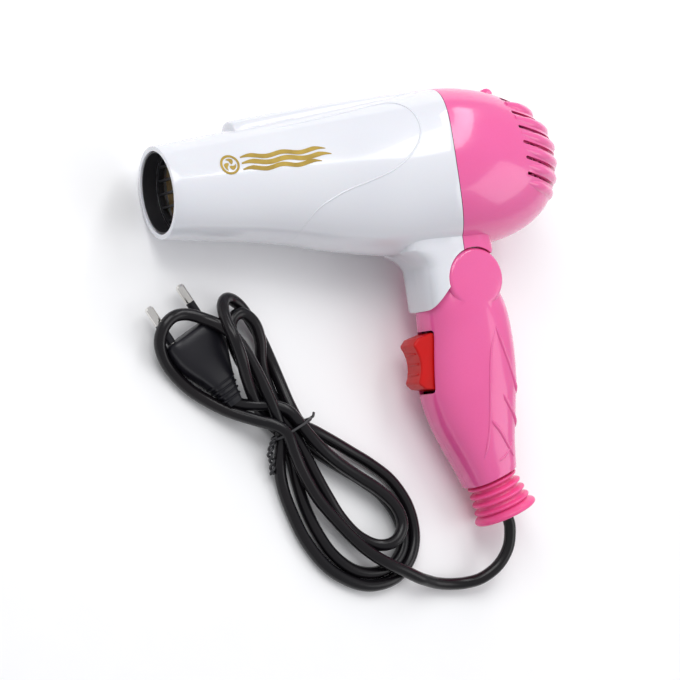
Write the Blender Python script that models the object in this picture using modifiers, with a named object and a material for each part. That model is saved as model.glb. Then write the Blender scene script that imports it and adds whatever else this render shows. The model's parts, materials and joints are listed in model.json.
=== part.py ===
"""Foldable travel hair dryer lying on its side, with its tied mains lead and two-pin plug.

Everything but the cord is modelled in the dryer's own frame: origin at the centre of the nozzle
mouth, +X along the barrel to the rear, +Y away from the handle, +Z out of the side that lies
uppermost.  An empty then lays the dryer on the table, where it rests on the nozzle rim, on the
bulge of the barrel and on the flange of the strain relief.  Lengths are in metres.
"""
import math

import bmesh
import bpy
from mathutils import Matrix, Vector

MM = 0.001
GAP = 0.3 * MM              # clearance between touching pieces
FAR = 200 * MM              # reach of a cutter that has to pass everything
RING_POINTS = 32            # points round a body section
ROUND_POINTS = 24           # points round a turned piece

# --- barrel and rear cap ---------------------------------------------------------------------
WALL = 2.0 * MM
MOUTH_RADIUS = 20.0 * MM
SHOULDER_X = 138.0 * MM     # where the barrel is widest and the rounded rear begins
REAR_LENGTH = 55.6 * MM     # from the shoulder to the rearmost point
SHOULDER_TOP = 31.8 * MM
SHOULDER_BOTTOM = -41.2 * MM
SHOULDER_WIDTH = 33.0 * MM  # half the width across the barrel
# x, top y, bottom y, half width of the barrel between the mouth and the shoulder
BARREL_STATIONS = (
    (22 * MM, 21.8 * MM, -23.4 * MM, 21.4 * MM),
    (42 * MM, 23.6 * MM, -26.4 * MM, 22.8 * MM),
    (59 * MM, 25.0 * MM, -29.8 * MM, 24.4 * MM),
    (73 * MM, 26.2 * MM, -33.5 * MM, 26.0 * MM),
    (95 * MM, 28.1 * MM, -38.2 * MM, 29.0 * MM),
    (108 * MM, 29.2 * MM, -40.2 * MM, 30.5 * MM),
)
REAR_STEPS = 9
REAR_ROUND_TOP = 2.0        # exponent of the rear's outline above and below its centre
REAR_ROUND_BOTTOM = 2.6
REAR_ROUND_SIDE = 2.2
SEAM_X = 137.0 * MM         # crown of the joint between barrel and cap
SEAM_RADIUS = 68.0 * MM
RIB_FRONT = 37.0 * MM
RIB_REAR = 132.0 * MM
RIB_HALF_WIDTH = 7.0 * MM
RIB_HEIGHT = 3.6 * MM
SLOT_COUNT = 6
SLOT_PITCH = 7.1 * MM
SLOT_WIDTH = 2.8 * MM
SLOT_TOP_Y = 14.6 * MM      # height of the top slot where it reaches the rear
SLOT_START_X = 166.0 * MM
SLOT_TILT = math.radians(17)

# --- neck and fold hinge ---------------------------------------------------------------------
PIVOT = Vector((139.5 * MM, -55.5 * MM, 0))
KNUCKLE_RADIUS = 13.8 * MM
KNUCKLE_HALF_WIDTH = 16.0 * MM
NECK_FRONT = 117.0 * MM
NECK_REAR = 152.7 * MM
NECK_HALF_WIDTH = 16.6 * MM
NECK_END = -69.0 * MM
STOP_TOP = Vector((126.6 * MM, -56.5 * MM, 0))     # stop face between neck and handle
STOP_BOTTOM = Vector((116.0 * MM, -67.8 * MM, 0))
TONGUE_ANGLE = math.radians(47)                    # where the cap's tongue ends round the knuckle
LUG_RADIUS = 12.8 * MM
LUG_HALF_WIDTH = 5.4 * MM
EAR_INNER = 6.4 * MM
PIN_RADIUS = 2.3 * MM
WASHER_RADIUS = 6.5 * MM

# --- handle ----------------------------------------------------------------------------------
HANDLE_HALF_WIDTH = 16.4 * MM
# y, front x, rear x, share of the half width
HANDLE_STATIONS = (
    (-54.0 * MM, 124.5 * MM, 152.6 * MM, 0.93),
    (-61.0 * MM, 119.0 * MM, 155.3 * MM, 0.97),
    (-68.0 * MM, 117.2 * MM, 157.9 * MM, 1.0),
    (-77.0 * MM, 116.6 * MM, 159.2 * MM, 1.0),
    (-90.0 * MM, 114.5 * MM, 159.4 * MM, 1.0),
    (-103.6 * MM, 113.0 * MM, 158.2 * MM, 1.0),
    (-111.0 * MM, 114.0 * MM, 156.6 * MM, 0.98),
    (-120.0 * MM, 116.5 * MM, 154.8 * MM, 0.95),
    (-129.4 * MM, 120.3 * MM, 152.8 * MM, 0.9),
    (-138.5 * MM, 124.3 * MM, 151.8 * MM, 0.84),
    (-150.0 * MM, 128.8 * MM, 150.6 * MM, 0.76),
)
HANDLE_END = Vector((139.9 * MM, -144.3 * MM, 0))  # centre of the slanted bottom face
HANDLE_TILT = math.radians(17)                     # slant of that face and of the cord's exit
CAVITY_TOP = -67.5 * MM

# --- switch ----------------------------------------------------------------------------------
ROCKER_PIVOT = Vector((122.6 * MM, -89.4 * MM, 0))
ROCKER_LENGTH = 26.0 * MM
ROCKER_HALF_WIDTH = 7.0 * MM
ROCKER_FRONT = 107.8 * MM
ROCKER_DIP = 2.4 * MM
ROCKER_REAR = 124.4 * MM
WINDOW_GAP = 0.9 * MM
ROCKER_TAPER = 1.8 * MM      # by which each end of the rocker draws in towards its front
ROCKER_PIN_RADIUS = 1.2 * MM
HOUSING_FRONT = 120.6 * MM
HOUSING_FLOOR = 125.8 * MM
HOUSING_REAR = 138.0 * MM
HOUSING_HALF_WIDTH = 8.4 * MM
CHEEK_REACH = 4.0 * MM      # of the cheeks that hold the rocker's pin

# --- strain relief, cord and plug ------------------------------------------------------------
CORD_RADIUS = 2.7 * MM
RELIEF_RADIUS = 8.0 * MM
RELIEF_LENGTH = 18.4 * MM
FLANGE_RADIUS = 14.6 * MM

# The cord's pieces lie on the table, so their places are in the table's frame.
# Centre line of the cord from the strain relief to the tied hank.
CORD_LEAD = (
    (51.15 * MM, -94.2 * MM, 15.0 * MM), (52.2 * MM, -100.4 * MM, 14.2 * MM), (50.3 * MM, -109.1 * MM, 12.3 * MM),
    (44.9 * MM, -116.1 * MM, 9.6 * MM), (37.0 * MM, -120.2 * MM, 6.8 * MM), (29.5 * MM, -121.0 * MM, 4.6 * MM),
    (21.5 * MM, -120.2 * MM, 3.6 * MM), (14.0 * MM, -118.6 * MM, 4.3 * MM), (8.0 * MM, -116.7 * MM, 6.2 * MM),
    (2.8 * MM, -114.8 * MM, 8.1 * MM),
)
LEAD_STEPS = 3              # pieces of tube between two points of the lead
# Outline of the hank: right-hand loops, then the top loop, then the left loop.
HANK_OUTLINE = (
    (-54.6 * MM, -44.4 * MM), (-55.6 * MM, -62 * MM), (-53.9 * MM, -77.5 * MM), (-49.5 * MM, -91.3 * MM),
    (-41.3 * MM, -104.6 * MM), (-29.6 * MM, -113.4 * MM), (-18.2 * MM, -117.2 * MM), (-5.8 * MM, -115.6 * MM),
    (4.4 * MM, -109 * MM), (10.2 * MM, -98 * MM), (11.3 * MM, -87 * MM), (5.9 * MM, -70.4 * MM),
    (-3.8 * MM, -60.7 * MM), (-13.4 * MM, -52.8 * MM), (-25.1 * MM, -45.3 * MM), (-37.3 * MM, -37.8 * MM),
    (-41.5 * MM, -27.6 * MM), (-44.9 * MM, -15 * MM), (-49.1 * MM, -0.2 * MM), (-53.3 * MM, 9.2 * MM),
    (-58.5 * MM, 18.3 * MM), (-65.5 * MM, 22 * MM), (-73.8 * MM, 19 * MM), (-84.4 * MM, 17.6 * MM),
    (-92.5 * MM, 17.6 * MM), (-100.5 * MM, 13.6 * MM), (-104.5 * MM, 5 * MM), (-102.6 * MM, -5 * MM),
    (-93.9 * MM, -17 * MM), (-80.3 * MM, -30.4 * MM), (-65.5 * MM, -40.5 * MM),
)
HANK_LOW = 1.6 * MM
HANK_HIGH = 13.6 * MM
WAIST = Vector((-46.0 * MM, -41.0 * MM, 0))
WAIST_ACROSS = Vector((0.94, 0.34, 0)).normalized()
WAIST_HALF_WIDTH = 11.0 * MM
TIE_THICKNESS = 1.2 * MM
TIE_WIDTH = 3.0 * MM
PLUG_FRONT = Vector((-87.0 * MM, 7.2 * MM, 7.2 * MM))
PLUG_AHEAD = Vector((-0.43, 0.903, 0)).normalized()
# distance behind the front face, half width and half thickness of the plug
PLUG_STATIONS = (
    (0.0, 13.2 * MM, 6.3 * MM), (2.0 * MM, 13.8 * MM, 6.9 * MM), (9.0 * MM, 13.0 * MM, 6.9 * MM),
    (16.0 * MM, 10.6 * MM, 6.6 * MM), (24.0 * MM, 7.0 * MM, 5.6 * MM), (31.0 * MM, 4.5 * MM, 4.3 * MM),
    (37.0 * MM, 3.5 * MM, 3.5 * MM),
)
PIN_SPACING = 18.6 * MM
PIN_LENGTH = 19.0 * MM
PLUG_PIN_RADIUS = 2.0 * MM
SLEEVE_LENGTH = 9.5 * MM

# --- drive and heater ------------------------------------------------------------------------
AXIS_Y = -4.8 * MM          # height of the motor's axis
FAN_RADIUS = 27.8 * MM
FAN_HUB_RADIUS = 8.5 * MM
FAN_X = 144.0 * MM
FAN_LENGTH = 12.0 * MM
BLADE_COUNT = 7
BLADE_PITCH = math.radians(38)
SHROUD_INNER = 28.6 * MM
SHROUD_OUTER = 29.6 * MM
SHROUD_FRONT = 128.5 * MM
SHROUD_REAR = 151.5 * MM
MOTOR_RADIUS = 11.5 * MM
MOTOR_FRONT = 106.0 * MM
MOTOR_REAR = 131.5 * MM
VANE_COUNT = 6
SHAFT_RADIUS = 1.0 * MM
LINER_RADIUS = 17.4 * MM
LINER_FRONT = 12.0 * MM
LINER_REAR = 93.0 * MM
CARD_HALF_WIDTH = 13.2 * MM
CARD_THICKNESS = 0.7 * MM
CARD_FRONT = 17.0 * MM
CARD_REAR = 90.0 * MM
COIL_RADIUS = 14.4 * MM
COIL_WIRE = 0.45 * MM
COIL_TURNS = 7
GRILLE_X = 7.5 * MM
GRILLE_SLATS = 5

COLOURS = {
    "white": ((0.86, 0.87, 0.89, 1), 0.22, 0.0),
    "pink": ((0.86, 0.16, 0.44, 1), 0.25, 0.0),
    "hot_pink": ((0.84, 0.07, 0.28, 1), 0.35, 0.0),
    "red": ((0.75, 0.01, 0.01, 1), 0.3, 0.0),
    "black": ((0.012, 0.012, 0.013, 1), 0.35, 0.0),
    "steel": ((0.62, 0.62, 0.64, 1), 0.3, 1.0),
    "brass": ((0.72, 0.5, 0.22, 1), 0.35, 1.0),
    "mica": ((0.42, 0.3, 0.16, 1), 0.5, 0.0),
    "nichrome": ((0.35, 0.33, 0.32, 1), 0.4, 1.0),
    "board": ((0.06, 0.25, 0.1, 1), 0.5, 0.0),
    "beige": ((0.75, 0.7, 0.58, 1), 0.5, 0.0),
}


# --- building blocks -------------------------------------------------------------------------
def fresh_collection(name):
    """Return a new collection linked to the scene."""
    collection = bpy.data.collections.new(name)
    bpy.context.scene.collection.children.link(collection)
    return collection


def material(name):
    """Return the named Principled material, made on first use."""
    found = bpy.data.materials.get(name)
    if found:
        return found
    colour, roughness, metallic = COLOURS[name]
    made = bpy.data.materials.new(name)
    made.use_nodes = True
    shader = made.node_tree.nodes["Principled BSDF"]
    shader.inputs["Base Color"].default_value = colour
    shader.inputs["Roughness"].default_value = roughness
    shader.inputs["Metallic"].default_value = metallic
    made.diffuse_color = colour
    return made


def holder(name, above=None, place=(0, 0, 0)):
    """Empty that carries a group of pieces; place is in the dryer's frame."""
    made = bpy.data.objects.new(name, None)
    bpy.context.scene.collection.objects.link(made)
    made.parent = above
    made.location = Vector(place) - (Vector(above["place"]) if above else Vector())
    made["place"] = Vector(place)
    return made


def finish(obj, carrier=None, colour=None, smooth=40):
    """File an object as a part, or as a hidden cutter when it has no colour."""
    if colour:
        PARTS.objects.link(obj)
        obj.data.materials.append(material(colour))
        if obj.type == "MESH":
            obj.data.shade_smooth()
            obj.data.set_sharp_from_angle(angle=math.radians(smooth))
    else:
        CUTTERS.objects.link(obj)
        obj.hide_render = True
        obj.display_type = "WIRE"
    obj.parent = carrier or DRYER
    obj.matrix_parent_inverse = Matrix.Translation(-Vector(obj.parent["place"]))
    return obj


def mesh_object(name, bm):
    """Turn a bmesh into an object that isn't linked yet."""
    data = bpy.data.meshes.new(name)
    bmesh.ops.recalc_face_normals(bm, faces=bm.faces)
    bm.to_mesh(data)
    bm.free()
    return bpy.data.objects.new(name, data)


def loft(name, rings):
    """Closed solid through rings of equal point count, with flat ends."""
    bm = bmesh.new()
    rows = [[bm.verts.new(point) for point in ring] for ring in rings]
    for low, high in zip(rows, rows[1:]):
        for i, corner in enumerate(low):
            j = (i + 1) % len(low)
            bm.faces.new((corner, low[j], high[j], high[i]))
    bm.faces.new(rows[0])
    bm.faces.new(rows[-1])
    return mesh_object(name, bm)


def box(name, low, high):
    """Axis-parallel box between two corners."""
    low, high = Vector(low), Vector(high)
    bm = bmesh.new()
    bmesh.ops.create_cube(bm, size=1)
    bmesh.ops.scale(bm, vec=high - low, verts=bm.verts)
    bmesh.ops.translate(bm, vec=(low + high) / 2, verts=bm.verts)
    return mesh_object(name, bm)


def rod(name, radius, start, end, points=ROUND_POINTS):
    """Round bar between two points."""
    start, end = Vector(start), Vector(end)
    bm = bmesh.new()
    bmesh.ops.create_cone(bm, cap_ends=True, segments=points, radius1=radius, radius2=radius,
                          depth=(end - start).length)
    turn = (end - start).to_track_quat("Z", "Y").to_matrix().to_4x4()
    bmesh.ops.transform(bm, matrix=Matrix.Translation((start + end) / 2) @ turn, verts=bm.verts)
    return mesh_object(name, bm)


def turned(name, profile, base, axis, points=ROUND_POINTS):
    """Turn a closed profile of (radius, height) pairs about the axis that leaves base."""
    data = bpy.data.meshes.new(name)
    count = len(profile)
    on_axis = all(radius > 0 for radius, _ in profile)
    edges = [(i, (i + 1) % count) for i in range(count if on_axis else count - 1)]
    data.from_pydata([(radius, 0, height) for radius, height in profile], edges, [])
    obj = bpy.data.objects.new(name, data)
    obj.matrix_local = Matrix.Translation(base) @ Vector(axis).to_track_quat("Z", "Y").to_matrix().to_4x4()
    screw = obj.modifiers.new("turn", "SCREW")
    screw.steps = screw.render_steps = points
    screw.use_merge_vertices = True
    screw.merge_threshold = 0.00001
    return obj


def meshed_curve(name, curve_data):
    """Make a curve a welded mesh object, so that it can be cut or bevelled."""
    curve = bpy.data.objects.new(name, curve_data)
    bpy.context.scene.collection.objects.link(curve)
    seen = curve.evaluated_get(bpy.context.evaluated_depsgraph_get())
    data = bpy.data.meshes.new_from_object(seen)
    bm = bmesh.new()
    bm.from_mesh(data)
    bmesh.ops.remove_doubles(bm, verts=bm.verts, dist=0.00001)
    bm.to_mesh(data)
    bm.free()
    bpy.data.objects.remove(curve)
    return bpy.data.objects.new(name, data)


def plate(name, outline, z_low, z_high):
    """Flat outline in x and y, as thick as from z_low to z_high."""
    curve = bpy.data.curves.new(name, "CURVE")
    curve.dimensions = "2D"
    curve.fill_mode = "BOTH"
    curve.extrude = (z_high - z_low) / 2
    spline = curve.splines.new("POLY")
    spline.points.add(len(outline) - 1)
    for point, (x, y) in zip(spline.points, outline):
        point.co = (x, y, 0, 1)
    spline.use_cyclic_u = True
    obj = meshed_curve(name, curve)
    obj.data.transform(Matrix.Translation((0, 0, (z_low + z_high) / 2)))
    return obj


def tube(name, points, radius, resolution=2):
    """Round tube along a chain of points, as a curve with filled caps."""
    curve = bpy.data.curves.new(name, "CURVE")
    curve.dimensions = "3D"
    curve.bevel_depth = radius
    curve.bevel_resolution = resolution
    curve.use_fill_caps = True
    spline = curve.splines.new("POLY")
    spline.points.add(len(points) - 1)
    for point, place in zip(spline.points, points):
        point.co = (*place, 1)
    return bpy.data.objects.new(name, curve)


def combine(obj, operation, *others):
    """Add a Boolean modifier for each of the other objects."""
    for other in others:
        step = obj.modifiers.new(other.name, "BOOLEAN")
        step.operation = operation
        step.object = other
    return obj


def oval(centre, first, second, up, down, count=RING_POINTS):
    """Ring of points about centre: `first` reaches sideways, `second` reaches up or down."""
    ring = []
    for i in range(count):
        angle = math.tau * (i + 0.5) / count
        rise = up if math.sin(angle) > 0 else down
        ring.append(centre + first * math.cos(angle) + second * (rise * math.sin(angle)))
    return ring


def smooth_value(table, x, column):
    """Read a column of a table at x, on a smooth curve through its rows."""
    rows = list(table)
    last = len(rows) - 2
    i = max(k for k in range(last + 1) if k == 0 or rows[k][0] <= x)
    before, low, high, after = rows[max(i - 1, 0)], rows[i], rows[i + 1], rows[min(i + 2, last + 1)]
    span = high[0] - low[0]
    t = (x - low[0]) / span
    slope_low = (high[column] - before[column]) / (high[0] - before[0]) * span
    slope_high = (after[column] - low[column]) / (after[0] - low[0]) * span
    return ((2 * t**3 - 3 * t**2 + 1) * low[column] + (t**3 - 2 * t**2 + t) * slope_low
            + (3 * t**2 - 2 * t**3) * high[column] + (t**3 - t**2) * slope_high)


# --- body sections ---------------------------------------------------------------------------
def barrel_table():
    """All stations of the barrel, from the mouth to just behind the shoulder."""
    mouth = (0.0, MOUTH_RADIUS, -MOUTH_RADIUS, MOUTH_RADIUS)
    shoulder = (SHOULDER_X, SHOULDER_TOP, SHOULDER_BOTTOM, SHOULDER_WIDTH)
    return (mouth, *BARREL_STATIONS, shoulder)


def body_section(x):
    """Return centre height, reach up, reach down and half width of the body at x."""
    if x <= SHOULDER_X:
        top, bottom, width = (smooth_value(barrel_table(), x, column) for column in (1, 2, 3))
        middle = (top + bottom) / 2
        return middle, top - middle, middle - bottom, width
    middle = (SHOULDER_TOP + SHOULDER_BOTTOM) / 2
    reach = (SHOULDER_TOP - SHOULDER_BOTTOM) / 2
    t = min((x - SHOULDER_X) / REAR_LENGTH, 1)

    def rounded(size, power):
        """Size of a superellipse's arm at the share t of its length."""
        return size * (1 - t**power) ** (1 / power)

    return (middle, rounded(reach, REAR_ROUND_TOP), rounded(reach, REAR_ROUND_BOTTOM),
            rounded(SHOULDER_WIDTH, REAR_ROUND_SIDE))


def body_ring(x, inset=0.0):
    """Ring of the body's surface at x, or of a surface that lies inset inside it."""
    middle, up, down, width = body_section(x)
    return oval(Vector((x, middle, 0)), Vector((0, 0, width - inset)), Vector((0, 1, 0)),
                up - inset, down - inset)


def body_solid(name, inset):
    """Solid of barrel and cap together, inset from the outer surface."""
    stations = [row[0] for row in barrel_table()]
    stations.insert(-1, (stations[-1] + stations[-2]) / 2)
    length = REAR_LENGTH - inset
    for i in range(1, REAR_STEPS):
        stations.append(SHOULDER_X + length * math.sin(math.pi / 2 * i / REAR_STEPS))
    stations.append(SHOULDER_X + length * 0.995)
    rings = []
    for x in stations:
        if x <= SHOULDER_X:
            rings.append(body_ring(x, inset))
            continue
        stretched = SHOULDER_X + (x - SHOULDER_X) * REAR_LENGTH / length
        rings.append([Vector((x, p.y, p.z)) for p in body_ring(stretched, inset * (REAR_LENGTH
                     - (stretched - SHOULDER_X)) / REAR_LENGTH)])
    if inset:
        mouth = [p - Vector((2 * WALL, 0, 0)) for p in rings[0]]
        rings.insert(0, mouth)
    return finish(loft(name, rings))


def rib_solid():
    """Low rounded rib along the top of the barrel, blunt in front and fading out behind."""
    rings = []
    steps = 8
    for i in range(steps + 1):
        t = i / steps
        x = RIB_FRONT + (RIB_REAR - RIB_FRONT) * t
        middle, up, _, _ = body_section(x)
        height = RIB_HEIGHT * (1 - t**2) + 0.2 * MM
        root = middle + up - 3 * MM
        rings.append(oval(Vector((x, root, 0)), Vector((0, 0, RIB_HALF_WIDTH * (1 - 0.3 * t))),
                          Vector((0, 1, 0)), 3 * MM + height, 2 * MM, 20))
    return finish(loft("rib_solid", rings))


def neck_ring(y, front, width):
    """Ring of the neck at height y, with softly rounded corners."""
    middle = (front + NECK_REAR) / 2
    reach = (NECK_REAR - front) / 2
    ring = []
    for i in range(RING_POINTS):
        angle = math.tau * (i + 0.5) / RING_POINTS
        cos, sin = math.cos(angle), math.sin(angle)
        ring.append((middle + reach * math.copysign(abs(cos) ** 0.5, cos), y,
                     width * math.copysign(abs(sin) ** 0.5, sin)))
    return ring


def neck_solid():
    """Neck below the barrel, flared where it runs into the barrel's underside."""
    flare = 9 * MM
    root = smooth_value(barrel_table(), NECK_FRONT, 2)
    rings = [neck_ring(root + 8 * MM, NECK_FRONT - flare, NECK_HALF_WIDTH)]
    for i in range(5):
        turn = math.pi / 2 * i / 4
        rings.append(neck_ring(root + 1 * MM - flare * math.sin(turn), NECK_FRONT - flare * (1 - math.sin(turn)) ** 2,
                               NECK_HALF_WIDTH))
    rings.append(neck_ring(NECK_END, NECK_FRONT, NECK_HALF_WIDTH))
    return finish(loft("neck_solid", rings))


def below_neck():
    """Cutter for everything under the neck: its stop face, the knuckle's room and the tongue's end."""
    along = (STOP_BOTTOM - STOP_TOP).normalized()
    start = STOP_BOTTOM + along * 4 * MM
    reach = NECK_REAR - PIVOT.x + 1 * MM
    drop = 30 * MM
    outline = [(start.x, start.y), (STOP_TOP.x, STOP_TOP.y), (PIVOT.x, PIVOT.y),
               (PIVOT.x + reach, PIVOT.y + reach * math.tan(TONGUE_ANGLE)),
               (PIVOT.x + reach, PIVOT.y - drop), (start.x, PIVOT.y - drop)]
    return finish(plate("below_neck", outline, -FAR, FAR))


def behind_seam(name, shift):
    """Cutter for what lies behind the curved joint between barrel and cap."""
    centre = SEAM_X - SEAM_RADIUS + shift
    arc = [(centre + SEAM_RADIUS * math.cos(a), SEAM_RADIUS * math.sin(a))
           for a in (math.radians(-45 + 6 * i) for i in range(16))]
    outline = [*arc, (centre + FAR, SEAM_RADIUS), (centre + FAR, -SEAM_RADIUS)]
    cutter = plate(name, outline, -FAR, FAR)
    cutter.data.transform(Matrix.Rotation(math.radians(90), 4, "X"))
    return finish(cutter)


def screw_piece(name, place, parent, head_z, length=14 * MM):
    """Countersunk-headed screw along +Z whose head's top lies at head_z."""
    head, shank = 2.5 * MM, 1.15 * MM
    profile = [(0, length), (shank, length - 1.5 * MM), (shank, 1.6 * MM), (head, 1.2 * MM), (head, 0), (0, 0)]
    obj = turned(name, profile, Vector((place[0], place[1], head_z)), (0, 0, 1), 16)
    return finish(obj, parent, "steel")


def screw_room(name, place, head_z):
    """Cutters for a screw's shank and for the recess over its head."""
    shank = finish(rod(name + "_bore", 1.5 * MM, (*place, head_z - FAR), (*place, head_z + 15 * MM), 16))
    recess = finish(rod(name + "_recess", 2.9 * MM, (*place, head_z - FAR), (*place, head_z + 1.9 * MM), 20))
    return shank, recess


# --- the two halves of a casing --------------------------------------------------------------
def half_space(name, side):
    """Box that holds one side of the parting plane."""
    low, high = sorted((side * GAP / 2, side * FAR))
    return finish(box(name, (-FAR, -2 * FAR, low), (2 * FAR, FAR, high)))


BODY_SCREWS = ((112.5 * MM, -31.5 * MM), (121.3 * MM, -51.5 * MM))
BODY_SCREW_HEADS = (-21.0 * MM, -11.0 * MM)
HANDLE_SCREWS = ((152.0 * MM, -77.0 * MM), (122.6 * MM, -117.0 * MM))
HANDLE_SCREW_HEAD = -8.5 * MM


def build_barrel(parent):
    """Barrel halves, rear cap and what is fixed to them."""
    inner = body_solid("body_inner", WALL)
    outer = body_solid("body_outer", 0)
    neck = neck_solid()
    rib = rib_solid()
    room = KNUCKLE_RADIUS + GAP
    knuckle_room = finish(rod("knuckle_room", room, PIVOT - Vector((0, 0, FAR)), PIVOT + Vector((0, 0, FAR)), 48))
    under = below_neck()
    lug = finish(rod("lug", LUG_RADIUS, PIVOT - Vector((0, 0, LUG_HALF_WIDTH)),
                     PIVOT + Vector((0, 0, LUG_HALF_WIDTH)), 40))
    web = finish(box("lug_web", (NECK_FRONT + 6 * MM, STOP_TOP.y + 1 * MM, -LUG_HALF_WIDTH + 0.01 * MM),
                     (PIVOT.x - 4 * MM, SHOULDER_BOTTOM - 1 * MM, LUG_HALF_WIDTH - 0.01 * MM)))
    bore = finish(rod("lug_bore", PIN_RADIUS + GAP, PIVOT - Vector((0, 0, FAR)), PIVOT + Vector((0, 0, FAR)), 24))
    wire_way = finish(box("wire_way", (125.6 * MM, -48 * MM, -3 * MM), (133.5 * MM, -34 * MM, 3 * MM)))
    behind = behind_seam("behind_seam", 0)
    boss = finish(rod("body_boss", 3.6 * MM, (*BODY_SCREWS[0], -28 * MM), (*BODY_SCREWS[0], 28 * MM), 24))
    rooms = [piece for i, place in enumerate(BODY_SCREWS)
             for piece in screw_room(f"body_screw_{i}", place, BODY_SCREW_HEADS[i])]
    trim = finish(body_solid("body_trim", 0.2 * MM).copy())
    trim.name = "boss_trim"
    for side, name in ((1, "barrel_near_half"), (-1, "barrel_far_half")):
        shell = outer.copy()
        shell.data = outer.data.copy()
        shell.name = name
        shell.hide_render = False
        shell.display_type = "TEXTURED"
        combine(shell, "UNION", neck, rib)
        combine(shell, "DIFFERENCE", inner)
        combine(shell, "UNION", boss_piece(boss, trim))
        combine(shell, "DIFFERENCE", knuckle_room, under, behind)
        combine(shell, "UNION", lug, web)
        combine(shell, "DIFFERENCE", bore, wire_way, *rooms)
        combine(shell, "INTERSECT", half_space(name + "_side", side))
        finish(shell, parent, "white")
    for i, place in enumerate(BODY_SCREWS):
        screw_piece(f"body_screw_{i + 1}", place, parent, BODY_SCREW_HEADS[i])
    build_cap(parent, outer, inner, neck, knuckle_room, under)


def boss_piece(boss, trim):
    """Screw boss cut back to the body's surface."""
    if not boss.modifiers:
        combine(boss, "INTERSECT", trim)
    return boss


def build_cap(parent, outer, inner, neck, knuckle_room, under):
    """Rear cap with its louvre slots, and the screen behind them."""
    cap = outer.copy()
    cap.data = outer.data.copy()
    cap.name = "rear_cap"
    cap.hide_render = False
    cap.display_type = "TEXTURED"
    combine(cap, "UNION", neck)
    combine(cap, "DIFFERENCE", inner, knuckle_room, under)
    combine(cap, "INTERSECT", behind_seam("cap_side", GAP))
    for i in range(SLOT_COUNT):
        slot = box(f"slot_{i}", (0, -SLOT_WIDTH / 2, -FAR), (FAR, SLOT_WIDTH / 2, FAR))
        rear = SHOULDER_X + REAR_LENGTH
        y = SLOT_TOP_Y - SLOT_PITCH * i + (rear - SLOT_START_X) * math.tan(SLOT_TILT)
        slot.data.transform(Matrix.Translation((SLOT_START_X, y, 0)) @ Matrix.Rotation(-SLOT_TILT, 4, "Z"))
        combine(cap, "DIFFERENCE", finish(slot))
    finish(cap, parent, "pink")


def build_screen(parent):
    """Round inlet screen with its rings and spokes."""
    front, rear = SHROUD_REAR + GAP, SHROUD_REAR + GAP + 1.2 * MM
    base = Vector((front, AXIS_Y, 0))
    thick = rear - front

    def ring(name, inside, outside):
        """Flat ring of the screen."""
        return turned(name, [(outside, thick), (outside, 0), (inside, 0), (inside, thick)], base, (1, 0, 0))

    screen = ring("inlet_screen", SHROUD_OUTER - 3 * MM, SHROUD_OUTER)
    combine(screen, "UNION", *(finish(ring(f"screen_ring_{i}", 8 * MM * i + 3 * MM, 8 * MM * i + 4.4 * MM))
                               for i in range(3)))
    for i in range(4):
        spoke = box(f"spoke_{i}", (front, -SHROUD_OUTER + 1.5 * MM, -0.7 * MM),
                    (rear, SHROUD_OUTER - 1.5 * MM, 0.7 * MM))
        spoke.data.transform(Matrix.Translation((0.01 * MM, AXIS_Y, 0)) @ Matrix.Rotation(math.pi / 4 * i, 4, "X"))
        combine(screen, "UNION", finish(spoke))
    finish(screen, parent, "black")


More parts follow.
